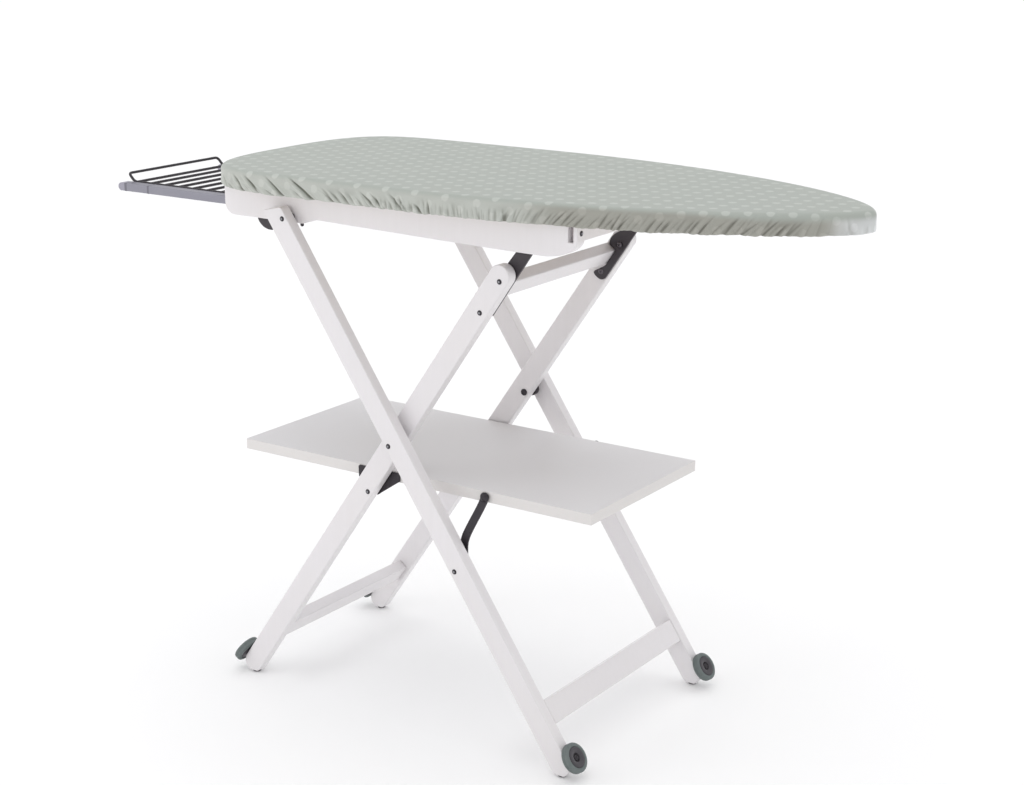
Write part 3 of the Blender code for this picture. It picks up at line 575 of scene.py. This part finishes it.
def latch_outline():
    """A latch bracket, from the inner leg's u and v: its head is cut level under the catch rail."""
    head_low, neck_low = LATCH_U - 0.0135, LATCH_U - 0.0465

    def head_u(v):
        return (0.828 - INNER.foot.y - INNER.across.y * v) / INNER.up.y

    shape = [(head_u(0.0165), 0.0165), (head_u(-0.005), -0.005), (head_low + 0.031, -0.0085),
             (head_low + 0.024, -0.0118), (head_low + 0.016, -0.0142), (head_low + 0.011, -0.0146),
             (head_low + 0.007, -0.0138), (head_low + 0.0035, -0.0125), (head_low + 0.0015, -0.0105),
             (head_low + 0.0003, -0.0085), (head_low, -0.006), (head_low, 0.0045),
             (neck_low + 0.002, 0.0045), (neck_low - 0.001, 0.0039), (neck_low - 0.004, 0.0026),
             (neck_low - 0.0195, -0.0054), (neck_low - 0.0215, -0.0062), (neck_low - 0.0231, -0.0064),
             (neck_low - 0.0245, -0.0058), (neck_low - 0.0257, -0.0040), (neck_low - 0.0265, -0.001),
             (neck_low - 0.0268, 0.0040), (neck_low - 0.0265, 0.0080), (neck_low - 0.0258, 0.0105),
             (neck_low - 0.0245, 0.0125), (neck_low - 0.0225, 0.0145), (neck_low - 0.0190, 0.0165)]
    return [tuple(INNER.at(u, v)) for u, v in shape]


for label in LABELS:
    for node, outline, body in ((f"hinge_plate_{label}", hinge_plate_outline(), "board"),
                                (f"latch_bracket_{label}", latch_outline(), "inner_frame")):
        finished(f"shape_{node}", extruded(outline, *extent(node, 1)), LOOKS["plastic"], body,
                 [node], bevel=0.0014, segments=3, limit=30)


def screw_head(name, place, facing, body, radius=0.0040, cross=False, look="black"):
    """A small domed screw head with a hexagon socket or a cross recess, standing on a face."""
    steps = 36
    profile = [(0.0, 0.0017), (radius * 0.35, 0.00165), (radius * 0.7, 0.0013), (radius * 0.93, 0.0007),
               (radius, 0.0001), (radius, -0.0008), (0.0, -0.0008)]
    finished(name, revolved(profile, place, facing, steps), LOOKS[look], body)
    turn = Vector(facing).to_track_quat("Z", "Y").to_matrix().to_4x4()
    centre = Matrix.Translation(Vector(place) + Vector(facing) * 0.0016) @ turn
    build = bmesh.new()
    if cross:
        for angle in (0, math.pi / 2):
            spin = Matrix.Rotation(angle + 0.4, 4, "Z")
            bmesh.ops.create_cube(build, size=1.0, matrix=centre @ spin @ Matrix.Diagonal(
                (radius * 1.15, radius * 0.24, 0.0004, 1)))
        inset = LOOKS["black"]
    else:
        bmesh.ops.create_cone(build, cap_ends=True, segments=6, radius1=radius * 0.5,
                              radius2=radius * 0.42, depth=0.0004, matrix=centre)
        inset = LOOKS["bright"]
    finished(name + "_socket", mesh_from(build), inset, body, bevel=0.0001, segments=1)


# body, X and Z, and how far from the middle the face is that the head stands on
BOLTS = {"board_pivot": ("outer_frame", (-0.221, 0.8175), 0.216),
         "crossing": ("outer_frame", (-0.017, 0.478), 0.216),
         "link_pivot": ("outer_frame", (0.109, 0.296), 0.216),
         "shelf_pivot": ("inner_frame", (-0.0845, 0.382), 0.1855),
         "latch": ("inner_frame", LATCH_BOLT, 0.1855),
         "latch_low": ("inner_frame", (0.138, 0.707), 0.1855)}
for key, (body, (x, z), face) in BOLTS.items():
    for label, side in SIDES:
        screw_head(f"bolt_{key}_{label}", (x, side * face, z), (0, side, 0), body, 0.0042)
for label, side in SIDES:
    screw_head(f"latch_screw_top_{label}",
               (LATCH_BOLT[0], side * (box("latch_bolt_back")[0].y - 0.0002), LATCH_BOLT[1]),
               (0, -side, 0), "inner_frame", 0.0048, cross=True, look="dull")
    place = INNER.at(LATCH_U - 0.0603, 0.0041)
    screw_head(f"latch_screw_low_{label}", (place.x, side * box("latch_bracket_back")[0].y, place.y),
               (0, -side, 0), "inner_frame", 0.0048, cross=True, look="dull")
    screw_head(f"rail_end_bolt_{label}", (0.314, side * 0.1812, 0.8460), (1, 0, 0), "board", 0.0042)

# -------------------------------- wheels
# (radius, distance out from the leg's edge) round each profile
near, far, middle = 0.0025, 0.0150, 0.00875
TYRE = [(0.0172, far - 0.0004), (0.0180, far), (0.0205, far), (0.0222, far - 0.0006),
        (0.0234, far - 0.0016), (0.0240, far - 0.0030), (0.0240, middle + 0.0016),
        (0.0230, middle + 0.0006), (0.0230, middle - 0.0006), (0.0240, middle - 0.0016),
        (0.0240, near + 0.0030), (0.0234, near + 0.0016), (0.0222, near + 0.0006),
        (0.0205, near), (0.0172, near)]
HUB = [(0.0064, far - 0.0052), (0.0068, far - 0.0050), (0.0070, far - 0.0012),
       (0.0078, far - 0.0004), (0.0120, far + 0.0002), (0.0158, far + 0.0004),
       (0.0166, far), (0.0169, far - 0.0008), (0.0169, near + 0.0004), (0.0075, near),
       (0.0062, near - 0.0010), (0.0033, near - 0.0010), (0.0033, far - 0.0052)]
for frame_name, leg, edge in (("outer", OUTER, 1), ("inner", INNER, -1)):
    for label in LABELS:
        place = leg.at(0.001, edge * LEG_HALF)
        low, high = box(f"{frame_name}_leg_{label}")
        origin = Vector((place.x, (low.y + high.y) / 2, place.y))
        outward = Vector((leg.across.x * edge, 0, leg.across.y * edge))
        body = f"wheel_{frame_name}_{label}"
        finished(f"rubber_{frame_name}_{label}", revolved(TYRE, origin, outward, 56, True),
                 LOOKS["rubber"], body, [f"tyre_{frame_name}_{label}"])
        finished(f"hub_{frame_name}_{label}", revolved(HUB, origin, outward, 48, True), LOOKS["hub"],
                 body, [f"wheel_hub_{frame_name}_{label}"])
        screw_head(f"axle_head_{frame_name}_{label}", origin + outward * (far - 0.0024), outward,
                   frame_name + "_frame", 0.0050, cross=True)

# -------------------------------- iron rest
WIRE_Y, WIRE_Z, RISE = 0.112, 0.8235, 0.0135
GRID = (-0.649, -0.376)            # X where the level part of the wire grid starts and ends
BAND_PROUD = 0.00012               # how far the bands stand out from the bars


def rounded(points, radius, steps=6):
    """The path with its inner corners rounded."""
    points = [Vector(p) for p in points]
    made = [points[0]]
    for before, corner, after in zip(points, points[1:], points[2:]):
        reach = min(radius, (before - corner).length * 0.45, (after - corner).length * 0.45)
        start = corner + (before - corner).normalized() * reach
        end = corner + (after - corner).normalized() * reach
        for t in np.linspace(0, 1, steps + 1):
            made.append((1 - t) ** 2 * start + 2 * t * (1 - t) * corner + t * t * end)
    return made + [points[-1]]


frame_path = [(GRID[1], -WIRE_Y, WIRE_Z), (GRID[0], -WIRE_Y, WIRE_Z),
              (GRID[0] - RISE, -WIRE_Y, WIRE_Z + RISE), (GRID[0] - RISE, WIRE_Y, WIRE_Z + RISE),
              (GRID[0], WIRE_Y, WIRE_Z), (GRID[1], WIRE_Y, WIRE_Z)]
paths = [rounded(frame_path, 0.007)]
for x in np.linspace(GRID[0] + 0.006, GRID[1] - 0.006, 9):
    paths.append([(x, -WIRE_Y, WIRE_Z), (x, WIRE_Y, WIRE_Z)])
finished("wire_grid", rod_mesh(paths, 0.0024), LOOKS["black"], "iron_rest",
         ["rest_wire_grid"])

for label in LABELS:
    low, high = box(f"rest_tube_{label}")
    y, z = (low.y + high.y) / 2, (low.z + high.z) / 2
    half_y, half_z = (high.y - low.y) / 2, (high.z - low.z) / 2
    section = [(y - half_y, z - half_z), (y + half_y, z - half_z), (y + half_y, z + half_z),
               (y - half_y, z + half_z)]
    finished(f"rest_bar_{label}", extruded(section, low.x, high.x, "YZ"), LOOKS["steel"], "iron_rest",
             [f"rest_tube_{label}"], bevel=0.0016)
    low, high = box(f"rest_end_cap_{label}")
    cap = (arc((low.x + 0.007, z), 0.007, 90, 270, 20)
           + [(high.x, z - 0.007), (high.x, z + 0.007)])
    finished(f"rest_plug_{label}", extruded(cap, low.y, high.y), LOOKS["cap"], "iron_rest",
             [f"rest_end_cap_{label}"], bevel=0.0016)
    for number, (start, width) in enumerate(((high.x - 0.002, 0.007), (high.x + 0.052, 0.006))):
        size = (width, 2 * half_y + 2 * BAND_PROUD, 2 * half_z + 2 * BAND_PROUD)
        finished(f"rest_band_{number}_{label}", block((start + width / 2, y, z), size),
                 LOOKS["band"], "iron_rest", bevel=0.0012)

# -------------------------------- shelf links
PIVOT, END = Vector((0.109, 0.296)), Vector((0.1310, 0.4080))
OUTSIDE_Y, INSIDE_Y, STRAP = 0.1900, 0.1636, 0.003
KNEE_BOW, KNEE_ROUND = 0.007, 0.12  # how far the knee stands off, and the share of it that is rounded


def knee_bow(distance, knee, reach):
    """How far the strap stands off the line between its holes, with a rounded knee."""
    rise, fall = distance / knee, (reach - distance) / (reach - knee)
    blend = max(0.0, KNEE_ROUND - abs(rise - fall))
    return KNEE_BOW * max(0.0, min(rise, fall) - blend * blend / (4 * KNEE_ROUND))


def strap(side):
    """A flat strap with round ends, bent at its knee and joggled inwards from the leg to the shelf."""
    reach = (END - PIVOT).length
    along = (END - PIVOT) / reach
    across = Vector((along.y, -along.x))
    half, knee, start, stop = 0.007, 0.35 * reach, 0.45 * reach, 0.96 * reach
    tips = [(half * math.sin(a), half * math.cos(a)) for a in np.radians(np.linspace(0, 88, 8))]
    rows = [(-s, w) for s, w in reversed(tips)] + [(0.0, half), (0.20 * reach, half)]
    rows += [(reach * t, half) for t in np.linspace(0.27, 0.97, 15)]
    rows += [(reach + s, w) for s, w in tips]
    build = bmesh.new()
    pairs = []
    for distance, width in rows:
        t = min(1.0, max(0.0, (distance - start) / (stop - start)))
        t = 0.6 * t + 0.4 * t * t * (3 - 2 * t)
        y = side * (OUTSIDE_Y + (INSIDE_Y - OUTSIDE_Y) * t)
        bow = knee_bow(distance, knee, reach)
        ends = [PIVOT + along * distance + across * (v - bow) for v in (-width, width)]
        pairs.append([build.verts.new((p.x, y + k * STRAP / 2, p.y)) for k in (-1, 1) for p in ends])
    for (a, b, c, d), (e, f, g, h) in zip(pairs, pairs[1:]):
        for corners in ((a, b, f, e), (d, c, g, h), (b, d, h, f), (c, a, e, g)):
            build.faces.new(corners)
    build.faces.new((pairs[0][0], pairs[0][1], pairs[0][3], pairs[0][2]))
    build.faces.new((pairs[-1][0], pairs[-1][2], pairs[-1][3], pairs[-1][1]))
    return mesh_from(build)


for label, side in SIDES:
    body = f"link_{label}"
    finished(f"strap_{label}", strap(side), LOOKS["black"], body,
             [f"shelf_link_{label}"], bevel=0.0006, segments=2, limit=50)
    dome = [(0.0, 0.0044), (0.0025, 0.0042), (0.0050, 0.0034), (0.0068, 0.0022), (0.0078, 0.0008),
            (0.0080, 0.0), (0.0, 0.0)]
    finished(f"rivet_{label}", revolved(dome, (END.x, side * (INSIDE_Y + STRAP / 2), END.y),
                                        (0, side, 0), 40), LOOKS["black"], body)

# -------------------------------- fitted cover
HALF_WIDTH, NOSE_X, HEEL_X = 0.236, 0.684, -0.409
TOP_Z, HEM_Z, ROLL, HEM_TURN = 0.8902, 0.8575, 0.009, 0.004
GATHER_END = 0.044                 # how far down the side the gathers run
GATHER_DEPTH, CREASE_LINE = 0.68, 0.0007  # share of a gather's depth kept, width of the painted shadow line along it
PUSH_LIMITS = (-0.0028, 0.0052)    # how far the gathered cloth may stand in and out
# painted light and shade on the cover's side: the side is painted lighter than the top, with painted
# shade near the nose and painted light on the tip
TOP_TINT = 0.95
SIDE_PAINTED_LIGHT, NOSE_PAINTED_SHADE, TIP_PAINTED_LIGHT = [np.array(painted_light_tint) for painted_light_tint in
                                  ((1.17, 1.13, 1.14), (0.82, 0.76, 0.74), (1.60, 1.53, 1.67))]
# (x at the top, x at the hem, drop where it starts, width, depth)
LONG_PLEATS = ((-0.352, -0.322, 0.012, 0.0040, 0.0034), (-0.315, -0.284, 0.010, 0.0038, 0.0036),
               (-0.290, -0.246, 0.009, 0.0042, 0.0054), (-0.243, -0.190, 0.006, 0.0042, 0.0062),
               (-0.198, -0.132, 0.003, 0.0044, 0.0070), (-0.126, -0.094, 0.014, 0.0036, 0.0028),
               (-0.092, -0.062, 0.015, 0.0036, 0.0030), (-0.052, -0.013, 0.012, 0.0036, 0.0046),
               (-0.031, 0.000, 0.013, 0.0030, 0.0034), (0.006, 0.040, 0.010, 0.0036, 0.0046),
               (0.022, 0.048, 0.016, 0.0026, 0.0028), (0.050, 0.072, 0.020, 0.0030, 0.0036),
               (0.079, 0.084, 0.018, 0.0028, 0.0034), (0.101, 0.103, 0.018, 0.0026, 0.0026),
               (0.128, 0.134, 0.016, 0.0028, 0.0028), (0.171, 0.172, 0.018, 0.0026, 0.0024),
               (0.214, 0.204, 0.018, 0.0028, 0.0024))


def half_width(x):
    """Half the board's width at x: pointed to the nose, blunt at the heel."""
    if x > 0:
        return HALF_WIDTH * max(0.0, 1 - (x / NOSE_X) ** 2.0) ** 0.65
    return HALF_WIDTH * max(0.0, 1 - (x / HEEL_X) ** 8) ** 0.35


def board_loop(count):
    """Evenly spaced points round the board from the nose, counter-clockwise, with outward normals."""
    t = np.linspace(0, 1, 3000)
    nose = NOSE_X * (1 - t ** 2.4)
    heel = HEEL_X * (1 - (1 - t[1:]) ** 2.6)
    x = np.concatenate([nose, heel])
    half = np.array([half_width(v) for v in x])
    loop = np.concatenate([np.stack([x, half], 1), np.stack([x, -half], 1)[::-1][1:]])
    run = np.concatenate([[0], np.cumsum(np.linalg.norm(np.diff(loop, axis=0), axis=1))])
    at = np.linspace(0, run[-1], count, endpoint=False)
    points = np.stack([np.interp(at, run, loop[:, i]) for i in (0, 1)], 1)
    along = np.roll(points, -2, 0) - np.roll(points, 2, 0)
    along /= np.linalg.norm(along, axis=1)[:, None]
    return points, np.stack([along[:, 1], -along[:, 0]], 1), at


def smooth_noise(seed, positions, period):
    """Seeded value noise along a line, between -1 and 1."""
    rng = np.random.default_rng(seed)
    values = rng.uniform(-1, 1, 4096)
    cell = np.floor(positions / period).astype(int)
    t = positions / period - cell
    t = t * t * (3 - 2 * t)
    return values[cell % 4096] * (1 - t) + values[(cell + 1) % 4096] * t


def ease(value, low, high):
    t = np.clip((value - low) / (high - low), 0, 1)
    return t * t * (3 - 2 * t)


def crease_list(points, run):
    """Where the cloth is gathered: (run at its top, drop at its top, run at the hem, width, depth) each.

    The long pleats near the heel lean with the elastic's pull, the middle has short upright gathers,
    and near the nose they lean the other way, until they are upright and shallow at its tip.
    """
    found = []
    length = run[-1] + run[1]
    for side in (-1, 1):
        rng = np.random.default_rng(17 + side)
        beside = np.where(np.sign(points[:, 1]) == side)[0]
        order = beside[np.argsort(points[beside, 0])]
        along_x, along_run = points[order, 0], run[order]

        def at(x):
            return np.interp(x, along_x, along_run)

        for top, bottom, start, width, depth in LONG_PLEATS:
            jog = 0.0 if side < 0 else rng.uniform(-0.009, 0.009)
            found.append((at(top + jog), start, at(bottom + jog), width, depth))
        x = -0.375
        while x < 0.665:
            heel = float(1 - ease(x, -0.12, 0.02))
            nose = float(ease(x, 0.16, 0.30))
            tip = float(ease(x, 0.60, 0.66))
            lean = 0.026 * heel + 0.004 - 0.030 * nose * (1 - tip) + rng.uniform(-0.006, 0.006)
            start = rng.uniform(0.012, 0.024) + 0.004 * heel - 0.007 * nose
            width = rng.uniform(0.0020, 0.0030) + 0.0012 * heel
            depth = rng.uniform(0.0010, 0.0030) * (1 - 0.6 * tip)
            found.append((at(x), start, at(x + lean), width, depth))
            x += rng.uniform(0.0055, 0.0115) + 0.010 * heel + 0.004 * tip
    rng = np.random.default_rng(5)
    middle = run[np.argmin(points[:, 0])]
    for offset in np.arange(-0.20, 0.20, 0.021):
        place = middle + offset + rng.uniform(-0.006, 0.006)
        found.append((place, rng.uniform(0.012, 0.020), place + rng.uniform(-0.010, 0.010),
                      rng.uniform(0.003, 0.005), rng.uniform(0.0012, 0.0026)))
    for offset in np.arange(-0.05, 0.05, 0.013):
        place = (offset + rng.uniform(-0.004, 0.004)) % length
        found.append((place, rng.uniform(0.020, 0.028), place,
                      rng.uniform(0.002, 0.003), rng.uniform(0.0004, 0.0009)))
    return found


def gathers(points, run, down):
    """For each place along the edge and down the side: how far the cloth stands out, and the painted
    shadow lines along its creases.
    """
    length = run[-1] + run[1]
    creases = crease_list(points, run)
    out, lines = [], []
    for d in down:
        line = np.zeros(len(run))
        push = 0.0009 * ease(d, 0.010, 0.022) * smooth_noise(23, run + 0.3 * d, 0.028)
        push += 0.00035 * ease(d, 0.018, 0.032) * smooth_noise(31, run - 0.2 * d, 0.006)
        for number, (top, start, bottom, width, depth) in enumerate(creases):
            t = (d - start) / (GATHER_END - start)
            if t <= 0:
                continue
            bow = 0.06 * (bottom - top) * math.sin(math.pi * t)
            off = run - (top + (bottom - top) * t + bow)
            off -= length * np.round(off / length)
            near = np.where(np.abs(off) < 6 * width)[0]
            q = off[near] / (width * (0.75 + 0.5 * t))
            q *= 1 if number % 3 else -1        # which side of the fold is the steep one
            valley = np.exp(-(q / np.where(q < 0, 0.65, 1.25)) ** 2)
            lips = 0.75 * np.exp(-((q + 1.5) / 0.95) ** 2) + 0.45 * np.exp(-((q - 2.6) / 1.3) ** 2)
            push[near] += GATHER_DEPTH * depth * float(ease(t, 0.0, 0.45)) * (lips - valley)
            # a painted shadow line down the middle of each deep gather
            sharp = np.exp(-((off[near] + 0.0004) / (CREASE_LINE + 0.08 * width)) ** 2)
            line[near] += sharp * min(1.0, depth / 0.0045) * float(ease(t, 0.05, 0.35))
        lines.append(np.clip(line, 0, 1))
        for _ in range(2):
            push = 0.25 * np.roll(push, 1) + 0.5 * push + 0.25 * np.roll(push, -1)
        out.append(np.clip(push, *PUSH_LIMITS))
    return out, lines


def side_painted_light(x):
    """The side's painted light against the top: painted lighter, with painted shade near the nose and
    painted light on the tip.
    """
    dark, tip = ease(x, 0.20, 0.31)[:, None], ease(x, 0.635, 0.668)[:, None]
    painted_light_tint = SIDE_PAINTED_LIGHT * (1 - dark) + NOSE_PAINTED_SHADE * dark
    return painted_light_tint * (1 - tip) + TIP_PAINTED_LIGHT * tip


def side_rows():
    """(inset, height) down the side: round the top edge, straight down, and turned under at the hem."""
    rows = [(ROLL * (1 - math.sin(angle)), TOP_Z - ROLL * (1 - math.cos(angle)))
            for angle in np.radians(np.linspace(0, 90, 8))]
    rows += [(0.0, z) for z in np.linspace(TOP_Z - ROLL, HEM_Z + HEM_TURN, 16)[1:]]
    rows += [(HEM_TURN * (1 - math.cos(angle)), HEM_Z + HEM_TURN * (1 - math.sin(angle)))
             for angle in np.radians(np.linspace(15, 90, 5))]
    return rows + [(0.0060, HEM_Z), (0.0075, HEM_Z + 0.0004), (0.0080, HEM_Z + 0.0012)]


def mark_cloth(mesh, flat, marks, light_tints):
    """Writes the flat measure, the named marks with the fold and crease painted shade, and the side's
    painted light, which the cotton's material reads.
    """
    layer = mesh.uv_layers.new(name="cloth")
    corner = np.empty(len(mesh.loops), dtype=np.int32)
    mesh.loops.foreach_get("vertex_index", corner)
    layer.data.foreach_set("uv", flat[corner].astype(np.float32).ravel())
    for key, values in marks.items():
        values = np.concatenate(values).astype(np.float32)
        mesh.attributes.new(key, "FLOAT", "POINT").data.foreach_set("value", values)
    light_tints = np.column_stack([light_tints, np.ones(len(light_tints))]).astype(np.float32)
    mesh.attributes.new("painted_light_tint", "FLOAT_COLOR", "POINT").data.foreach_set("color", light_tints.ravel())


def cover_mesh():
    """The cover's one sheet: a coarse top of rings, and a fine gathered side that turns under."""
    count, coarse = 3200, 4
    points, normals, run = board_loop(count)
    rows = side_rows()
    down = [0.0]
    for row, following in zip(rows, rows[1:]):
        down.append(down[-1] + math.dist(following, row))
    out, lines = gathers(points, run, down)
    wave = 0.0009 * smooth_noise(41, run, 0.022) + 0.0005 * smooth_noise(43, run, 0.008)
    late = ease(points[:, 0], 0.45, 0.60)       # towards the nose the side's painted light and shade start lower down
    vertices, flat, folds, sides, crease_shade_lines, light_tints = [], [], [], [], [], []
    for (inset, z), d, push, line in zip(rows, down, out, lines):
        share = d / down[-1]
        turn = 1 if inset <= 0.002 else (0.3 if z > 0.87 else 0.5)
        moved = points + normals * (push * turn - inset)[:, None]
        height = (np.full(count, z) + wave * ease(share, 0.55, 0.9)
                  - 0.25 * push * ease(share, 0.7, 0.95))
        vertices.append(np.column_stack([moved, height]))
        flat.append(points + normals * (d - ROLL))
        folds.append(push)
        crease_shade_lines.append(line)
        sides.append(np.full(count, float(ease(d, 0.004, 0.016))))
        # the side's painted light and shade blend in below the top edge
        change = ease(d, 0.004 + 0.006 * late, 0.013 + 0.009 * late)[:, None]
        light_tints.append(TOP_TINT + (side_painted_light(points[:, 0]) - TOP_TINT) * change)
    # the top: rings that shrink towards the board's middle line
    few = points[::coarse]
    middle = np.column_stack([np.clip(few[:, 0], -0.21, 0.50), np.zeros(len(few))])
    edge = few - normals[::coarse] * ROLL
    for t in np.concatenate([[0.012, 0.03], np.linspace(0.055, 1, 34)]):
        ring = edge * (1 - t) + middle * t
        near = np.exp(-t * 16)
        wander = 3 * smooth_noise(51, run[::coarse], 0.03)
        ripple = 0.00040 * near * np.sin(run[::coarse] / 0.011 + wander)
        x, y = ring[:, 0], ring[:, 1]
        swell = 0.0006 * np.sin(x * 31 + 1.3 * np.sin(y * 23)) * np.sin(y * 27 + 0.7)
        height = (TOP_Z + 0.0007 * (1 - math.exp(-t * 9)) + ripple * (1 - math.exp(-t * 60))
                  + swell * (1 - near))
        vertices.append(np.column_stack([ring, height]))
        flat.append(ring)
        folds.append(np.zeros(len(ring)))
        crease_shade_lines.append(np.zeros(len(ring)))
        sides.append(np.zeros(len(ring)))
        light_tints.append(np.full((len(ring), 3), TOP_TINT))
    mesh = bpy.data.meshes.new("cover")
    faces = [(row * count + i, row * count + (i + 1) % count, (row + 1) * count + (i + 1) % count,
              (row + 1) * count + i) for row in range(len(rows) - 1) for i in range(count)]
    start, size = len(rows) * count, len(few)
    for i in range(size):
        fine = [(i * coarse + k) % count for k in range(coarse + 1)]
        faces.append((start + i, start + (i + 1) % size, *fine[::-1]))
    for row in range(len(vertices) - len(rows) - 1):
        low = start + row * size
        faces += [(low + size + i, low + size + (i + 1) % size, low + (i + 1) % size, low + i)
                  for i in range(size)]
    mesh.from_pydata(np.concatenate(vertices).tolist(), [], faces)
    marks = {"fold": folds, "side": sides, "crease_shade": crease_shade_lines}
    mark_cloth(mesh, np.concatenate(flat), marks, np.concatenate(light_tints))
    build = bmesh.new()
    build.from_mesh(mesh)
    bmesh.ops.remove_doubles(build, verts=[v for v in build.verts if abs(v.co.y) < 1e-5], dist=0.0004)
    bmesh.ops.recalc_face_normals(build, faces=build.faces)
    build.to_mesh(mesh)
    build.free()
    return mesh


cover = finished("cover", cover_mesh(), LOOKS["cotton"], "board",
                 ["board_cover", "board_padding"])
skin = cover.modifiers.new("cloth", "SOLIDIFY")
skin.thickness = 0.0009
skin.offset = -1.0

# -------------------------------- CAD nodes that stay
STAY = {"board_panel": "ply", "glide_": "plastic", "board_pivot_washer_": "plastic",
        "crossing_washer_": "plastic", "rest_channel_": "steel", "shelf_bracket_": "black"}
for name, node in nodes.items():
    key = next((k for k in STAY if name.startswith(k)), None)
    node.data.materials.clear()
    node.data.materials.append(LOOKS[STAY.get(key, "black")])

# -------------------------------- floor, light and camera
def stage_floor():
    build = bmesh.new()
    bmesh.ops.create_grid(build, x_segments=1, y_segments=1, size=40.0)
    floor = bpy.data.objects.new("floor", mesh_from(build))
    bpy.context.scene.collection.objects.link(floor)
    floor.location.z = -0.0005
    look = Shader("floor_pale", srgb(240, 240, 240), 0.9, Emission_Color=(1, 1, 1, 1),
                  Emission_Strength=0.10)
    floor.data.materials.append(look.material)
    floor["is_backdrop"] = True


def softbox(name, place, target, size, power):
    data = bpy.data.lights.new(name, "AREA")
    data.shape = "RECTANGLE"
    data.size, data.size_y = size
    data.energy = power
    light = bpy.data.objects.new(name, data)
    bpy.context.scene.collection.objects.link(light)
    light.location = place
    light.rotation_euler = (Vector(target) - Vector(place)).to_track_quat("-Z", "Y").to_euler()


def sun(name, towards, spread, strength):
    """A wide soft light, shining from the given direction."""
    data = bpy.data.lights.new(name, "SUN")
    data.angle = math.radians(spread)
    data.energy = strength
    light = bpy.data.objects.new(name, data)
    bpy.context.scene.collection.objects.link(light)
    light.rotation_euler = Vector(towards).to_track_quat("Z", "Y").to_euler()


stage_floor()
softbox("key", (-1.7, -2.1, 1.35), (-0.35, 0.0, 0.80), (1.3, 1.3), 8.0)
sun("top", (0.05, 0.10, 1.0), 80, 0.97)
world = bpy.data.worlds.new("studio")
bpy.context.scene.world = world
world.use_nodes = True
sky = world.node_tree
sky.nodes["Background"].inputs["Color"].default_value = (0.985, 0.985, 1.0, 1.0)
aloft = sky.nodes.new("ShaderNodeSeparateXYZ")
sky.links.new(sky.nodes.new("ShaderNodeTexCoord").outputs["Generated"], aloft.inputs[0])
sweep = sky.nodes.new("ShaderNodeMapRange")   # bright at floor level, so that no horizon shows
sweep.interpolation_type = "SMOOTHSTEP"
for socket, value in (("From Min", 0.04), ("From Max", 0.24), ("To Min", 1.03), ("To Max", 0.765)):
    sweep.inputs[socket].default_value = value
sky.links.new(aloft.outputs["Z"], sweep.inputs["Value"])
sky.links.new(sweep.outputs["Result"], sky.nodes["Background"].inputs["Strength"])
bpy.context.scene.view_settings.view_transform = "Standard"

camera = bpy.data.objects.new("camera", bpy.data.cameras.new("camera"))
bpy.context.scene.collection.objects.link(camera)
bpy.context.scene.camera = camera
camera.data.sensor_width = 36.0
camera.data.lens = 65.5
azimuth, elevation, distance = math.radians(34.30), math.radians(15.69), 3.026
aim = PLACE + Vector((0.0703, 0.0, 0.5294))
back = Vector((math.sin(azimuth) * math.cos(elevation), -math.cos(azimuth) * math.cos(elevation),
               math.sin(elevation)))
camera.location = aim + back * distance
camera.rotation_euler = (-back).to_track_quat("-Z", "Y").to_euler()

low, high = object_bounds()
